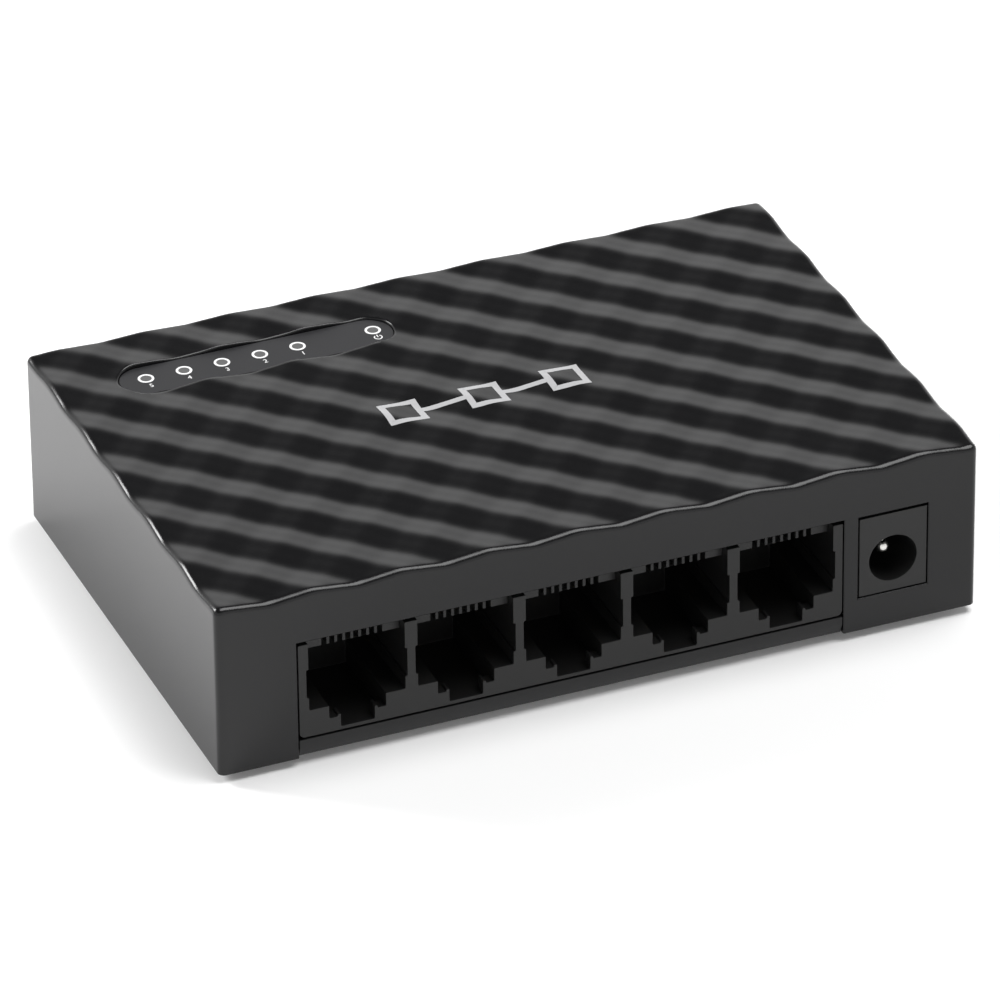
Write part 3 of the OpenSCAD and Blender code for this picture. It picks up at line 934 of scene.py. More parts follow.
@dataclass
class TopCover:
    """The wave-topped box with its openings.

    Attributes:
        waves: The waves on its top.
        wall: Thickness of its walls.
        edge: Radius of its outer edges.
        mesh_step: Distance between mesh lines on its top.
        socket_gap: Gap around the socket block.
        roof_gap: Gap above the socket block.
        lip_edge: Size of the chamfers around the openings.
        window_gap: Gap around the light window's film.
        rim: Radius of the rim of the light window's recess.
        edge_steps: Mesh lines across half of a round edge.
        fade_step: Distance between the mesh lines where the waves fade out.
        inlet_roof: Gap above the power inlet.
        past: How far a cutter reaches past what it cuts.
        post: Radius of a screw post.
        post_hole: Radius of its hole.
        post_edge: Size of the chamfer at its lower end.
        bite: How far posts and light wells reach into the ceiling.
        well: Radius of a light well.
        well_top: Radius of its upper end.
        well_reach: Half the width of the bar with the wells.
        well_margin: Length of the bar past its last lights.
    """

    waves: WavyTop
    wall: float = 1.8 * MM
    edge: float = 0.85 * MM
    mesh_step: float = 0.42 * MM
    socket_gap: float = 0.15 * MM
    roof_gap: float = 0.45 * MM
    lip_edge: float = 0.12 * MM
    window_gap: float = 0.1 * MM
    rim: float = 0.24 * MM
    edge_steps: int = 4
    fade_step: float = 0.15 * MM
    inlet_roof: float = 0.35 * MM
    past: float = 1.0 * MM
    post: float = 3.0 * MM
    post_hole: float = 1.3 * MM
    post_edge: float = 0.2 * MM
    bite: float = 0.2 * MM
    well: float = 1.8 * MM
    well_top: float = 1.2 * MM
    well_reach: float = 2.5 * MM
    well_margin: float = 1.5 * MM

    def __post_init__(self) -> None:
        """Reads the case's corners from the frame."""
        self.low, self.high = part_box("top_cover")
        self.top = self.high.z - self.waves.main - self.waves.cross

    def bend(self, step: int) -> float:
        """Gives how far in from the outer side a mesh line on a round edge starts.

        Args:
            step: The line's number, from 0 at the edge's inner end.

        Returns:
            The distance.
        """
        return self.edge * (1 - math.tan(math.radians(45.0 * step / self.edge_steps)))

    def stations(self, half: float) -> list[float]:
        """Gives the mesh lines across the top, closer together at its edges.

        Args:
            half: Half the size of the top.

        Returns:
            Places from one edge to the other.
        """
        near = [self.bend(step) for step in range(self.edge_steps, 0, -1)]
        inner = half - self.edge
        count = max(2, round(2 * inner / self.mesh_step))
        middle = [-inner + 2 * inner * k / count for k in range(count + 1)]
        left = [-half + step for step in near]
        return left + middle + [-place for place in reversed(left)]

    def levels(self) -> list[float]:
        """Gives the heights of the mesh lines round the walls, from the top down.

        Returns:
            The heights below the top's own edge.
        """
        upper = [self.top - self.bend(step) for step in reversed(range(self.edge_steps))]
        fade = [self.top - self.edge - self.fade_step * k for k in range(1, 8)]
        bottom = self.low.z
        plain = [bottom + (fade[-1] - bottom) * share for share in (0.75, 0.5, 0.25, 0.0)]
        return upper + fade + plain

    def rounded(self, x: float, y: float, z: float) -> Point:
        """Moves a point of the plain box onto the box with round edges.

        Args:
            x: The point's place.
            y: The same, along Y.
            z: The same, along Z.

        Returns:
            The new place.
        """
        inner = Vector((
            min(max(x, self.low.x + self.edge), self.high.x - self.edge),
            min(max(y, self.low.y + self.edge), self.high.y - self.edge),
            min(z, self.top - self.edge),
        ))
        away = Vector((x, y, z)) - inner
        if away.length < 1e-9:
            return (x, y, z)
        return tuple(inner + away.normalized() * self.edge)

    def blank(self) -> bpy.types.Object:
        """Makes the outer block with round edges and a finely divided top.

        Returns:
            The block.
        """
        xs = self.stations(self.high.x)
        ys = self.stations(self.high.y)
        form = bmesh.new()
        grid = [[form.verts.new(self.rounded(x, y, self.top)) for y in ys] for x in xs]
        for a in range(len(xs) - 1):
            for b in range(len(ys) - 1):
                form.faces.new((grid[a][b], grid[a + 1][b], grid[a + 1][b + 1], grid[a][b + 1]))
        last_x, last_y = len(xs) - 1, len(ys) - 1
        loop = ([(a, 0) for a in range(last_x)] + [(last_x, b) for b in range(last_y)]
                + [(a, last_y) for a in range(last_x, 0, -1)] + [(0, b) for b in range(last_y, 0, -1)])
        upper = [grid[a][b] for a, b in loop]
        for z in self.levels():
            lower = [form.verts.new(self.rounded(xs[a], ys[b], z)) for a, b in loop]
            for k in range(len(loop)):
                n = (k + 1) % len(loop)
                form.faces.new((upper[n], upper[k], lower[k], lower[n]))
            upper = lower
        form.faces.new(upper[::-1])
        return from_bmesh("top_cover_shell", form)

    def port(self, name: str, low: Point, high: Point) -> bpy.types.Object:
        """Makes a cutter for an opening in the front wall, with a chamfer at its mouth.

        Args:
            name: The cutter's name.
            low: Lowest X and Z; its Y is not used.
            high: Highest X and Z, and the cutter's back Y.

        Returns:
            The cutter.
        """
        mouth = self.low.y
        rings = []
        for y, grow in ((mouth - self.past, self.past + self.lip_edge), (mouth + self.lip_edge, 0.0),
                        (high[1], 0.0)):
            rings.append([
                (high[0] + grow, y, low[2] - grow), (high[0] + grow, y, high[2] + grow),
                (low[0] - grow, y, high[2] + grow), (low[0] - grow, y, low[2] - grow),
            ][::-1])
        return stack_rings(name, rings)

    def recess(self) -> bpy.types.Object:
        """Makes the cutter for the light window's recess, with a rounded rim.

        Returns:
            The cutter.
        """
        low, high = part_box("light_window")
        length = high.x - low.x + 2 * self.window_gap
        width = high.y - low.y + 2 * self.window_gap
        middle = (low + high) / 2
        wall = self.top - self.rim - low.z
        stages = [(0.0, low.z + wall * share) for share in (0.0, 0.35, 0.7, 1.0)]
        for angle in range(15, 90, 15):
            turn = math.radians(angle)
            stages.append((self.rim * (1 - math.cos(turn)), self.top - self.rim * (1 - math.sin(turn))))
        spread, height = stages[-1]
        stages.append((spread + 2 * self.rim, height + self.rim))
        rings = [
            [(middle.x + x, middle.y + y, z) for x, y in oblong(length + 2 * grow, width + 2 * grow)]
            for grow, z in stages
        ]
        return stack_rings("recess_cutter", rings)

    def posts(self) -> bpy.types.Object:
        """Makes the screw posts that hang from the ceiling.

        Returns:
            The four posts, as one piece.
        """
        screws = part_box("case_screws")
        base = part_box("bottom_cover")
        length = screws[1].x - screws[0].x - 2 * CASE_SCREW.head
        width = screws[1].y - screws[0].y - 2 * CASE_SCREW.head
        rise = self.top - self.wall + self.bite - base[1].z
        profile = [(self.post_hole, 0.0), (self.post - self.post_edge, 0.0),
                   (self.post, self.post_edge), (self.post, rise), (self.post_hole, rise)]
        place = Matrix.Translation((0.0, 0.0, base[1].z))
        post = turned_tube("screw_posts", profile, place)
        return copies_of("screw_posts", post, Finishes.case, Spread.CORNERS, length=length,
                         width=width)

    def shroud(self) -> bpy.types.Object:
        """Makes the bar with a light well over each status light.

        Returns:
            The bar.
        """
        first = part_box("port_light_5")
        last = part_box("power_light")
        y = (first[0].y + first[1].y) / 2
        gap = 0.1 * MM
        bar = block(
            "light_wells",
            (first[0].x - self.well_margin, y - self.well_reach, first[1].z + gap),
            (last[1].x + self.well_margin, y + self.well_reach, self.top - self.wall + self.bite),
        )
        wells = []
        for node in [f"port_light_{k}" for k in range(1, 6)] + ["power_light"]:
            low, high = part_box(node)
            profile = [(self.well, -self.past), (self.well, 3.0 * MM), (self.well_top, 3.4 * MM)]
            place = Matrix.Translation(((low.x + high.x) / 2, y, high.z))
            wells.append(turned("well", profile, place, steps=32))
        return soften(cut(bar, wells))

    def build(self) -> None:
        """Builds the cover, its posts and its light wells."""
        shell = self.blank()
        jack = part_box("jack_block")
        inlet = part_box("inlet_housing")
        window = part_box("light_window")
        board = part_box("circuit_board")[0].z
        deep = self.low.y + 2 * self.wall
        tools = [
            block("hollow", (self.low.x + self.wall, self.low.y + self.wall, self.low.z - self.past),
                  (self.high.x - self.wall, self.high.y - self.wall, self.top - self.wall)),
            self.port("socket_cutter",
                      (jack[0].x - self.socket_gap, 0.0, self.low.z - 3 * self.past),
                      (jack[1].x + self.socket_gap, deep, board + self.roof_gap)),
            self.port("inlet_cutter",
                      (inlet[0].x - self.socket_gap, 0.0, inlet[0].z - self.socket_gap),
                      (inlet[1].x + self.socket_gap, deep, inlet[1].z + self.inlet_roof)),
            self.recess(),
        ]
        cut(shell, tools)
        middle = (window[0] + window[1]) / 2
        reach = ((window[1].x - window[0].x) / 2 + 2 * self.rim,
                 (window[1].y - window[0].y) / 2 + 2 * self.rim)
        self.waves.lift(shell, Finishes.case,
                        fade=(self.top - self.edge - 1.0 * MM, self.top - self.edge),
                        near=(window[0].z + 0.02 * MM, self.top - self.rim),
                        spot=tuple(middle), reach=reach)
        soften(shell, 38.0)
        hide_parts("top_cover")
        for piece in (shell, self.posts(), self.shroud()):
            finish_piece(piece, Finishes.case)


def turned_tube(name: str, profile: Outline, place: Matrix, steps: int = 40) -> bpy.types.Object:
    """Turns a closed outline round an axis, for a solid with a hole through it.

    Args:
        name: The object's name.
        profile: Radius and height of each corner, counter-clockwise with the axis on the left.
        place: Where its axis and base go.
        steps: Number of steps round the axis.

    Returns:
        The solid.
    """
    form = bmesh.new()
    rows = []
    for step in range(steps):
        angle = 2 * math.pi * step / steps
        row = []
        for radius, height in profile:
            local = Vector((radius * math.cos(angle), radius * math.sin(angle), height))
            row.append(form.verts.new(place @ local))
        rows.append(row)
    count = len(profile)
    for step in range(steps):
        here, there = rows[step], rows[(step + 1) % steps]
        for a in range(count):
            b = (a + 1) % count
            form.faces.new((here[a], there[a], there[b], here[b]))
    return soften(from_bmesh(name, form))


@dataclass
class BottomCover:
    """The plate under the case, with its label, its feet and its screws.

    Attributes:
        edge: Radius of the plate's edges.
        foot_edge: Radius of the feet's lower edges.
        head_edge: Radius of the screws' heads.
        slot: Half the width of a screw's recess.
        border: Width of the label's printed border.
        border_inset: Distance of the border from the label's edge.
        print_proud: How far the border stands proud of the label.
        print_deep: How far it reaches into the label.
    """

    edge: float = 0.15 * MM
    foot_edge: float = 0.6 * MM
    head_edge: float = 0.3 * MM
    slot: float = 0.25 * MM
    border: float = 0.3 * MM
    border_inset: float = 1.5 * MM
    print_proud: float = 0.015 * MM
    print_deep: float = 0.01 * MM

    def feet(self) -> None:
        """Builds the rubber feet."""
        for number in range(1, 5):
            node = f"rubber_foot_{number}"
            low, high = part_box(node)
            radius = (high.x - low.x) / 2
            height = high.z - low.z
            profile = [(radius - self.foot_edge, 0.0)]
            for angle in (30.0, 60.0, 90.0):
                turn = math.radians(angle)
                profile.append((radius - self.foot_edge * (1 - math.sin(turn)),
                                self.foot_edge * (1 - math.cos(turn))))
            profile.append((radius, height))
            middle = (low + high) / 2
            foot = turned(f"foot_{number}", profile,
                          Matrix.Translation((middle.x, middle.y, low.z)))
            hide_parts(node)
            finish_piece(foot, Finishes.rubber)

    def screw(self, name: str, size: ScrewSize, reach: float) -> bpy.types.Object:
        """Makes one screw with a cross recess in its head, which looks down.

        Args:
            name: The object's name.
            size: Its sizes.
            reach: Length of its shank.

        Returns:
            The screw, with the middle of its head's face on the origin.
        """
        edge = self.head_edge
        head, height, shank = size.head, size.height, size.shank
        profile = [(head - 1.6 * edge, 0.0), (head - 0.7 * edge, 0.25 * edge), (head, edge),
                   (head, height), (shank, height), (shank, height + reach - shank * 0.5),
                   (shank * 0.6, height + reach)]
        screw = turned(name, profile, Matrix.Identity(4))
        arm = head * 0.55
        deep = height * 0.55
        cross = [block("recess", (-x, -y, -deep), (x, y, deep))
                 for x, y in ((arm, self.slot), (self.slot, arm))]
        return soften(cut(screw, cross))

    def screws(self) -> None:
        """Builds the screws of the case and of the circuit board."""
        low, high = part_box("case_screws")
        size = CASE_SCREW
        screw = self.screw("case_screw", size, high.z - low.z - size.height)
        screw.data.transform(Matrix.Translation((0.0, 0.0, low.z)))
        four = copies_of("case_screw_set", screw, Finishes.steel, Spread.CORNERS,
                         length=high.x - low.x - 2 * size.head,
                         width=high.y - low.y - 2 * size.head)
        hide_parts("case_screws")
        finish_piece(four, Finishes.steel)
        low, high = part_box("board_screws")
        size = BOARD_SCREW
        first = Matrix.Translation((low.x + size.head, (low.y + high.y) / 2, low.z))
        screw = self.screw("board_screw", size, high.z - low.z - size.height)
        screw.data.transform(first)
        pair = copies_of("board_screw_pair", screw, Finishes.steel, Spread.ROW, count=2,
                         step=(high.x - low.x - 2 * size.head, 0.0, 0.0))
        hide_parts("board_screws")
        finish_piece(pair, Finishes.steel)

    def label(self) -> None:
        """Builds the blank label with a printed border."""
        low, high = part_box("rating_label")
        label = rounded_copy("label_plate", "rating_label", 0.05 * MM, 1)
        finish_piece(label, Finishes.paper)
        outlines = []
        for inset in (self.border_inset, self.border_inset + self.border):
            x0, y0 = low.x + inset, low.y + inset
            x1, y1 = high.x - inset, high.y - inset
            outlines.append([(x0, y0), (x1, y0), (x1, y1), (x0, y1)])
        border = ring_plate("label_border", *outlines, low.z - self.print_proud,
                            low.z + self.print_deep)
        finish_piece(border, Finishes.label_ink)

    def build(self) -> None:
        """Builds the plate and all that is fixed to it."""
        plate = rounded_copy("bottom_plate", "bottom_cover", self.edge)
        finish_piece(plate, Finishes.base)
        self.feet()
        self.screws()
        self.label()


def ring_plate(name: str, outer: Outline, inner: Outline, low: float,
               high: float) -> bpy.types.Object:
    """Makes a thin flat frame between two outlines with the same number of points.

    Args:
        name: The object's name.
        outer: Its outer edge, counter-clockwise.
        inner: Its inner edge, counter-clockwise.
        low: Height of its lower face.
        high: Height of its upper face.

    Returns:
        The frame.
    """
    form = bmesh.new()
    rows = [[form.verts.new((x, y, z)) for x, y in outline]
            for outline, z in ((outer, low), (outer, high), (inner, high), (inner, low))]
    count = len(outer)
    for here, there in zip(rows, rows[1:] + rows[:1]):
        for a in range(count):
            b = (a + 1) % count
            form.faces.new((here[a], here[b], there[b], there[a]))
    return from_bmesh(name, form)


# ---------------------------------------------------------------- light window


@dataclass
class LightWindow:
    """The tinted film over the status lights, with what is printed on it.

    Attributes:
        ring: Outer radius of a printed ring.
        hole: Its inner radius.
        ink: Thickness of the print.
        digit_size: Size of the port numbers' font.
        digit_drop: Distance from a ring to the middle of its number.
        digit_shift: Distance of a number to the right of its ring.
        symbol: Radius of the power symbol.
        symbol_bar: Length of its upright stroke.
        symbol_stroke: Width of its strokes.
    """

    ring: float = 1.02 * MM
    hole: float = 0.72 * MM
    ink: float = 0.012 * MM
    digit_size: float = 1.12 * MM
    digit_drop: float = 1.88 * MM
    digit_shift: float = 0.06 * MM
    symbol: float = 0.48 * MM
    symbol_bar: float = 0.62 * MM
    symbol_stroke: float = 0.14 * MM

    def __post_init__(self) -> None:
        """Reads the places of the lights from the frame."""
        self.low, self.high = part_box("light_window")
        lights = [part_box(f"port_light_{number}") for number in range(5, 0, -1)]
        self.places = [((low.x + high.x) / 2, (low.y + high.y) / 2) for low, high in lights]
        low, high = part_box("power_light")
        self.power = ((low.x + high.x) / 2, (low.y + high.y) / 2)
        self.pitch = self.places[1][0] - self.places[0][0]

    def film(self) -> None:
        """Builds the film."""
        film = rounded_copy("film", "light_window", 0.04 * MM, 2)
        finish_piece(film, Finishes.film)

    def circle(self, radius: float, place: tuple[float, float], steps: int = 40) -> Outline:
        """Gives a circle's outline.

        Args:
            radius: Its radius.
            place: Its middle.
            steps: Number of points.

        Returns:
            The outline, counter-clockwise.
        """
        turns = [2 * math.pi * step / steps for step in range(steps)]
        return [(place[0] + radius * math.cos(t), place[1] + radius * math.sin(t)) for t in turns]

    def printed_row(self, name: str, master: bpy.types.Object, finish: Finish) -> None:
        """Repeats a printed piece at every port light.

        Args:
            name: The new piece's name.
            master: The piece at the first light.
            finish: Its finish.
        """
        row = copies_of(name, master, finish, Spread.ROW, count=len(self.places),
                        step=(self.pitch, 0.0, 0.0))
        finish_piece(row, finish)

    def rings(self) -> None:
        """Prints a ring and a grey dot over each light."""
        top = self.high.z
        for name, place, repeat in (("port", self.places[0], True), ("power", self.power, False)):
            ring = ring_plate(f"{name}_rings", self.circle(self.ring, place),
                              self.circle(self.hole, place), top - self.ink, top + self.ink)
            at = Matrix.Translation((*place, top - self.ink))
            radius = self.hole + 0.01 * MM
            profile = [(radius, 0.0), (radius, 1.5 * self.ink)]
            dot = turned(f"{name}_dots", profile, at, steps=40)
            for piece, finish in ((ring, Finishes.ink), (dot, Finishes.lens)):
                if repeat:
                    self.printed_row(piece.name, piece, finish)
                else:
                    finish_piece(piece, finish)

    def numbers(self) -> None:
        """Prints the port numbers, which read from the port side."""
        for index, (x, y) in enumerate(self.places):
            number = len(self.places) - index
            letters = bpy.data.curves.new(f"number_{number}", "FONT")
            letters.body = str(number)
            letters.size = self.digit_size
            letters.extrude = self.ink
            letters.align_x = "CENTER"
            letters.align_y = "CENTER"
            source = bpy.data.objects.new("letters", letters)
            bpy.context.scene.collection.objects.link(source)
            mesh = evaluated_mesh(source)
            bpy.data.objects.remove(source)
            mesh.transform(Matrix.Translation((x + self.digit_shift, y - self.digit_drop,
                                                self.high.z)))
            finish_piece(mesh_object(f"port_number_{number}", mesh), Finishes.ink)

    def power_mark(self) -> None:
        """Prints the power symbol: a broken ring with a stroke in its gap."""
        x, y = self.power
        y -= self.digit_drop
        start, sweep, steps = 125.0, 290.0, 28
        turns = [math.radians(start + sweep * step / steps) for step in range(steps + 1)]
        arc = [(x + self.symbol * math.cos(t), y + self.symbol * math.sin(t)) for t in turns]
        form = bmesh.new()
        for path in (arc, [(x, y), (x, y + self.symbol_bar)]):
            ribbon(form, path, self.symbol_stroke, self.high.z - self.ink, self.high.z + self.ink)
        finish_piece(from_bmesh("power_symbol", form), Finishes.ink)

    def build(self) -> None:
        """Builds the film and its print."""
        self.film()
        self.rings()
        self.numbers()
        self.power_mark()


def ribbon(form: bmesh.types.BMesh, path: Outline, width: float, low: float, high: float,
           closed: bool = False) -> None:
    """Adds a flat stroke that follows a path.

    Args:
        form: The bmesh to add it to.
        path: The stroke's centreline.
        width: Its width.
        low: Height of its lower face.
        high: Height of its upper face.
        closed: Whether the path ends where it starts.
    """
    count = len(path)
    sides: list[tuple[Vector, Vector]] = []
    for index, point in enumerate(path):
        here = Vector(point)
        before = Vector(path[index - 1]) if index or closed else None
        after = Vector(path[(index + 1) % count]) if index < count - 1 or closed else None
        ways = [(b - a).normalized() for a, b in ((before, here), (here, after))
                if a is not None and b is not None]
        normals = [Vector((-way.y, way.x)) for way in ways]
        middle = sum(normals, Vector((0.0, 0.0))).normalized()
        reach = width / 2 / max(0.3, middle.dot(normals[0]))
        sides.append((here - middle * reach, here + middle * reach))
    rows = [[form.verts.new((spot.x, spot.y, z)) for spot, z in
             ((right, low), (right, high), (left, high), (left, low))] for right, left in sides]
    pairs = list(zip(rows, rows[1:] + rows[:1]))
    for here, there in pairs if closed else pairs[:-1]:
        for a in range(4):
            b = (a + 1) % 4
            form.faces.new((here[a], here[b], there[b], there[a])[::-1])
    if not closed:
        form.faces.new(rows[0])
        form.faces.new(rows[-1][::-1])


@dataclass
class TopMark:
    """The silver mark on the top: three linked squares, drawn over the waves.

    Attributes:
        waves: The waves that it lies on.
        left: Its left end.
        right: Its right end.
        front: Its front edge.
        back: Its back edge.
        stroke: Width of its lines.
        ink: Thickness of the print.
        step: Distance between points along its lines.
    """

    waves: WavyTop
    left: float = -14.35 * MM
    right: float = 12.15 * MM
    front: float = -1.0 * MM
    back: float = 4.1 * MM
    stroke: float = 0.85 * MM
    ink: float = 0.02 * MM
    step: float = 0.25 * MM

    def divided(self, corners: Outline) -> Outline:
        """Puts extra points on a path's straight lines.

        Args:
            corners: The path's corners, the last one joined to the first.

        Returns:
            The finely divided path.
        """
        path: Outline = []
        for (x0, y0), (x1, y1) in zip(corners, corners[1:] + corners[:1]):
            count = max(1, round(math.hypot(x1 - x0, y1 - y0) / self.step))
            path += [(x0 + (x1 - x0) * k / count, y0 + (y1 - y0) * k / count)
                     for k in range(count)]
        return path

    def build(self, top: float) -> None:
        """Builds the mark.

        Args:
            top: Height of the middle of the waves.
        """
        inset = self.stroke / 2
        low, high = self.front + inset, self.back - inset
        side = high - low
        gap = (self.right - self.left - 2 * inset - 3 * side) / 2
        form = bmesh.new()
        for index in range(3):
            x = self.left + inset + index * (side + gap)
            square = [(x, low), (x + side, low), (x + side, high), (x, high)]
            ribbon(form, self.divided(square), self.stroke, top - self.ink, top + self.ink, True)
            if index < 2:
                y = (low + high) / 2
                start, end = x + side + inset, x + side + gap - inset
                count = max(1, round((end - start) / self.step))
                link = [(start + (end - start) * k / count, y) for k in range(count + 1)]
                ribbon(form, link, self.stroke, top - self.ink, top + self.ink)
        mark = from_bmesh("top_mark", form)
        self.waves.lift(mark, Finishes.silver_ink, fade=(top - 2 * MM, top - 1 * MM))
        finish_piece(mark, Finishes.silver_ink)


# ---------------------------------------------------------------- sockets and inlet


@dataclass
class Sockets:
    """The block of network sockets with its contacts.

    Attributes:
        edge: Radius of the block's edges.
        guide_edge: Radius of the contact guides' edges.
        wire: Diameter of a contact wire.
        pitch: Distance between neighbouring contacts.
        contacts: Number of contacts in a socket.
        bend: Radius of the wires' bends.
        drop: Slope of the free ends, in degrees.
        pin_rows: Distance between the two rows of pins.
        board_gap: Gap between the wires and the circuit board.
        bow: Corners of a free end: shares of its length, and rises above its slope.
    """

    edge: float = 0.12 * MM
    guide_edge: float = 0.04 * MM
    wire: float = 0.3 * MM
    pitch: float = 1.02 * MM
    contacts: int = 8
    bend: float = 0.3 * MM
    drop: float = 22.0
    pin_rows: float = 2.2 * MM
    board_gap: float = 0.02 * MM
    bow: tuple[tuple[float, float], ...] = ((0.0, 0.0), (0.5, 0.05 * MM), (0.85, 0.0),
                                            (1.0, 0.3 * MM))

    def paths(self, name: str, paths: Sequence[Sequence[Point]]) -> bpy.types.Object:
        """Makes bare lines for wires to follow.

        Args:
            name: The object's name.
            paths: The corners of each line.

        Returns:
            An object of edges alone.
        """
        points: list[Point] = []
        edges: list[tuple[int, int]] = []
        for path in paths:
            start = len(points)
            points += list(path)
            edges += [(start + k, start + k + 1) for k in range(len(path) - 1)]
        mesh = bpy.data.meshes.new(name)
        mesh.from_pydata(points, edges, [])
        return mesh_object(name, mesh)

    def row(self, name: str, node: str, paths: Sequence[Sequence[Point]], body: str) -> None:
        """Makes a row of wires from its first two.

        Args:
            name: The new piece's name.
            node: The CAD node that it replaces.
            paths: The first two wires' corners.
            body: The body that it rides on.
        """
        wires = copies_of(name, self.paths(name, paths), Finishes.gold, Spread.WIRES,
                          diameter=self.wire, bend=self.bend, count=self.contacts // 2,
                          step=(2 * self.pitch, 0.0, 0.0))
        soften(wires, 50.0)
        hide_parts(node)
        finish_piece(wires, Finishes.gold, body)

    def contacts_of(self, number: int) -> None:
        """Builds one socket's wires and their sprung free ends.

        Args:
            number: The port's number.
        """
        low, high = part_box(f"contact_wires_{number}")
        spring_low, spring_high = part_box(f"contact_springs_{number}")
        radius = self.wire / 2
        first = (low.x + high.x) / 2 - self.pitch * (self.contacts - 1) / 2
        front = low.y + radius
        rows = (high.y - radius - self.pin_rows, high.y - radius)
        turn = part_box("circuit_board")[0].z - radius - self.board_gap
        fixed, free = [], []
        start = (spring_low.y + radius, spring_high.z - radius)
        slope = math.radians(self.drop)
        reach = (spring_high.y - spring_low.y - 2 * radius) / math.cos(slope)
        for index, pin in enumerate(rows):
            x = first + index * self.pitch
            fixed.append([(x, front, low.z), (x, front, turn), (x, pin, turn), (x, pin, high.z)])
            free.append([
                (x, start[0] + share * reach * math.cos(slope) + up * math.sin(slope),
                 start[1] - share * reach * math.sin(slope) + up * math.cos(slope))
                for share, up in self.bow
            ])
        self.row(f"port_{number}_wires", f"contact_wires_{number}", fixed, SWITCH_BODY)
        self.row(f"port_{number}_springs", f"contact_springs_{number}", free,
                 f"port_{number}_contacts")

    def build(self) -> None:
        """Builds the block, the guides and the contacts."""
        jack = rounded_copy("socket_block", "jack_block", self.edge)
        finish_piece(jack, Finishes.jack)
        for number in range(1, 6):
            guide = rounded_copy(f"contact_guide_{number}", f"contact_carrier_{number}",
                                 self.guide_edge, 1)
            finish_piece(guide, Finishes.jack)
            self.contacts_of(number)


@dataclass
class PowerInlet:
    """The barrel power inlet.

    Attributes:
        edge: Radius of its body's edges.
        strip_edge: Radius of its contacts' edges.
    """

    edge: float = 0.12 * MM
    strip_edge: float = 0.05 * MM

    def build(self) -> None:
        """Builds the inlet."""
        housing = rounded_copy("inlet_body", "inlet_housing", self.edge)
        finish_piece(housing, Finishes.inlet)
        pin = rounded_copy("centre_pin", "inlet_pin", self.strip_edge, 2, 50.0)
        finish_piece(pin, Finishes.nickel)
        leaf = rounded_copy("sleeve_leaf", "inlet_spring", self.strip_edge)
        finish_piece(leaf, Finishes.spring_tin, "inlet_leaf")
        for node in ("inlet_sleeve_terminal", "inlet_switch_terminal"):
            strip = rounded_copy(f"{node}_strip", node, self.strip_edge)
            finish_piece(strip, Finishes.spring_tin)


@dataclass
class CircuitBoard:
    """The circuit board with its parts.

    Attributes:
        edge: Radius of the moulded parts' edges.
    """

    edge: float = 0.12 * MM

    def build(self) -> None:
        """Builds the board's parts."""
        bodies = {
            **{f"transformer_{number}": Finishes.epoxy for number in range(1, 6)},
            "switch_chip": Finishes.epoxy, "regulator": Finishes.epoxy, "diode": Finishes.epoxy,
            "crystal": Finishes.can, "inductor": Finishes.ferrite,
            "capacitor_1": Finishes.sleeve, "capacitor_2": Finishes.sleeve,
        }
        for node, finish in bodies.items():
            finish_piece(rounded_copy(f"{node}_body", node, self.edge), finish)
        kept = {
            "circuit_board": Finishes.laminate, "transformer_leads": Finishes.lead_tin,
            "switch_chip_leads": Finishes.lead_tin, "regulator_leads": Finishes.lead_tin,
            "chip_resistors": Finishes.resistor, "chip_capacitors": Finishes.ceramic,
            "power_light": Finishes.lamp,
            **{f"port_light_{number}": Finishes.lamp for number in range(1, 6)},
        }
        for node, finish in kept.items():
            dress_node(node, finish)


# ---------------------------------------------------------------- studio


@dataclass(frozen=True)
class Softbox:
    """A soft rectangular light.

    Attributes:
        name: Its name.
        place: Its place, in metres.
        target: The point that it faces.
        size: Its width and height.
        power: Its power in watts.
    """

    name: str
    place: Point
    target: Point
    size: tuple[float, float]
    power: float

    def hang(self) -> None:
        """Puts the light in the scene."""
        data = bpy.data.lights.new(self.name, "AREA")
        data.shape = "RECTANGLE"
        data.size, data.size_y = self.size
        data.energy = self.power
        light = bpy.data.objects.new(self.name, data)
        bpy.context.scene.collection.objects.link(light)
        away = Vector(self.target) - Vector(self.place)
        turn = away.to_track_quat("-Z", "Y").to_matrix().to_4x4()
        light.matrix_world = Matrix.Translation(self.place) @ turn
        light.visible_camera = False


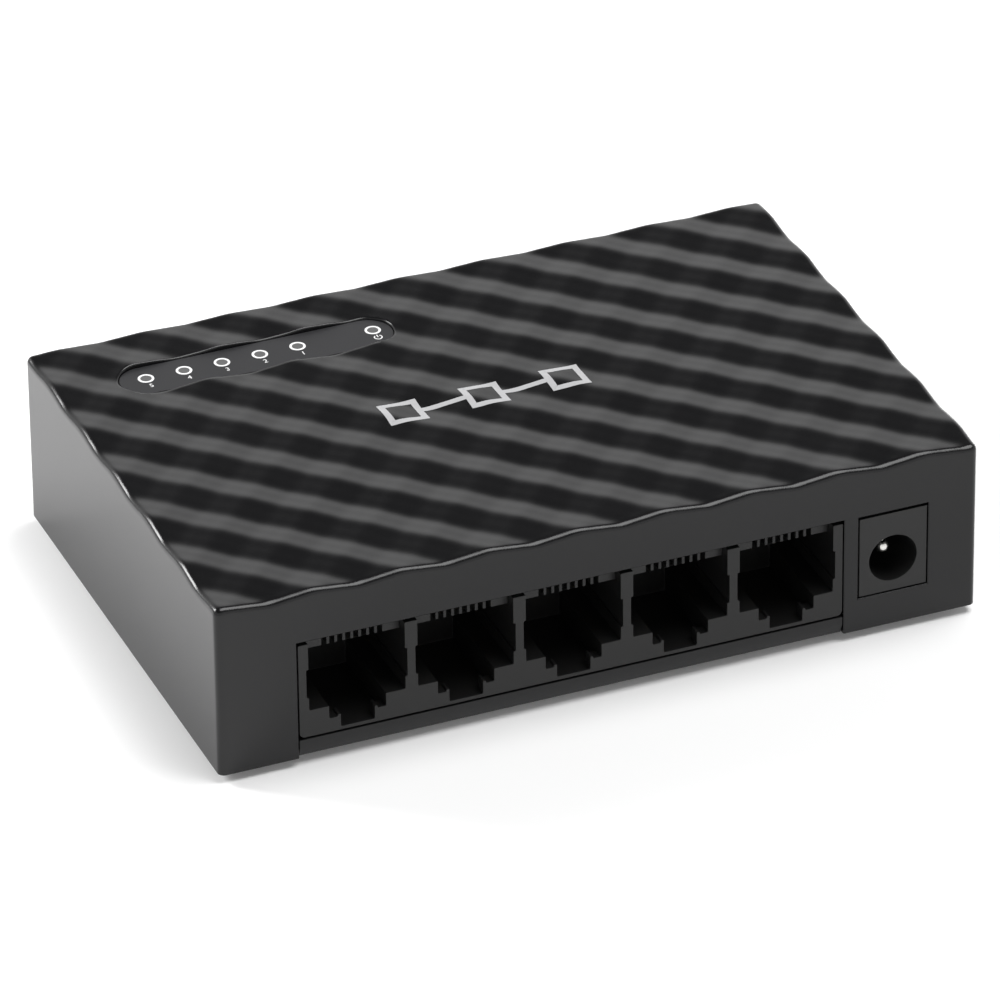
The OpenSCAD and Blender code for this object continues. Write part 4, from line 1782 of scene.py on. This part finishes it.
@dataclass
class Studio:
    """The white surroundings, the soft lights and the camera.

    Attributes:
        floor_reach: Half the size of the floor.
        camera_place: The camera's place, in millimetres.
        aim: The point that it looks at, in millimetres.
        roll: The camera's turn about its own axis, in degrees.
        lens: Focal length in millimetres.
        sensor: Width of the camera's sensor, in millimetres.
        sky: Brightness of the surroundings at heights from 0, below, to 1, above.
        lights: The soft lights.
    """

    floor_reach: float = 6.0
    camera_place: Point = (-355.3, -878.8, 582.4)
    aim: Point = (-1.73, -4.77, 12.6)
    roll: float = -0.6455
    lens: float = 323.72
    sensor: float = 36.0
    sky: Sequence[tuple[float, float]] = ((0.0, 1.0), (0.4, 0.95), (0.56, 0.3), (0.66, 0.04),
                                          (1.0, 0.04))
    lights: Sequence[Softbox] = (
        Softbox("overhead", (0.5, -0.2, 1.4), (0.3, -0.12, 0.0), (1.1, 0.9), 21.0),
        Softbox("back left", (-0.22, 0.16, 0.15), (-0.08, 0.05, 0.0), (0.1, 0.1), 0.7),
    )

    def camera(self) -> None:
        """Places the camera."""
        camera = bpy.data.objects.new("camera", bpy.data.cameras.new("camera"))
        bpy.context.scene.collection.objects.link(camera)
        place = Vector(self.camera_place) * MM
        away = (Vector(self.aim) * MM - place).normalized()
        turn = away.to_track_quat("-Z", "Y").to_matrix().to_4x4()
        roll = Matrix.Rotation(math.radians(self.roll), 4, "Z")
        camera.matrix_world = Matrix.Translation(place) @ turn @ roll
        camera.data.lens = self.lens
        camera.data.sensor_width = self.sensor
        camera.data.clip_start = 0.01
        camera.data.clip_end = 100.0
        bpy.context.scene.camera = camera

    def floor(self) -> None:
        """Lays the floor."""
        form = bmesh.new()
        bmesh.ops.create_grid(form, x_segments=1, y_segments=1, size=self.floor_reach)
        floor = from_bmesh("floor", form)
        floor.data.materials.append(Finishes.floor.material())

    def world(self) -> None:
        """Makes the surroundings: bright low down, dark above."""
        world = bpy.data.worlds.new("surroundings")
        world.use_nodes = True
        world.node_tree.nodes.clear()
        sheet = NodeSheet(world.node_tree)
        coordinates = sheet.add("ShaderNodeTexCoord")
        parts = sheet.add("ShaderNodeSeparateXYZ")
        sheet.link(coordinates.outputs["Generated"], parts.inputs["Vector"])
        ramp = sheet.add("ShaderNodeValToRGB")
        elements = ramp.color_ramp.elements
        while len(elements) < len(self.sky):
            elements.new(0.5)
        for element, (place, level) in zip(elements, self.sky):
            element.position = place
            element.color = (level, level, level, 1.0)
        sheet.link(parts.outputs["Z"], ramp.inputs["Fac"])
        background = sheet.add("ShaderNodeBackground")
        sheet.link(ramp.outputs["Color"], background.inputs["Color"])
        background.inputs["Strength"].default_value = 1.0
        output = sheet.add("ShaderNodeOutputWorld")
        sheet.link(background.outputs["Background"], output.inputs["Surface"])
        bpy.context.scene.world = world

    def build(self) -> None:
        """Builds the studio."""
        self.floor()
        self.world()
        for light in self.lights:
            light.hang()
        self.camera()
        bpy.context.scene.view_settings.view_transform = "Standard"


def main() -> None:
    """Builds the switch and its studio in order, and reports each piece."""
    logging.basicConfig(level=logging.INFO, format="%(message)s")
    waves = WavyTop()
    cover = TopCover(waves)
    assemblies = {
        "top cover": cover.build, "bottom cover": BottomCover().build,
        "light window": LightWindow().build, "top mark": lambda: TopMark(waves).build(cover.top),
        "network sockets": Sockets().build, "power inlet": PowerInlet().build,
        "circuit board": CircuitBoard().build, "studio": Studio().build,
    }
    for name, build in assemblies.items():
        before = set(bpy.data.objects)
        build()
        pieces = sorted(piece.name for piece in set(bpy.data.objects) - before)
        LOG.info("%s: %d pieces (%s)", name, len(pieces), ", ".join(pieces))
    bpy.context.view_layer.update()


if __name__ == "__main__":
    main()
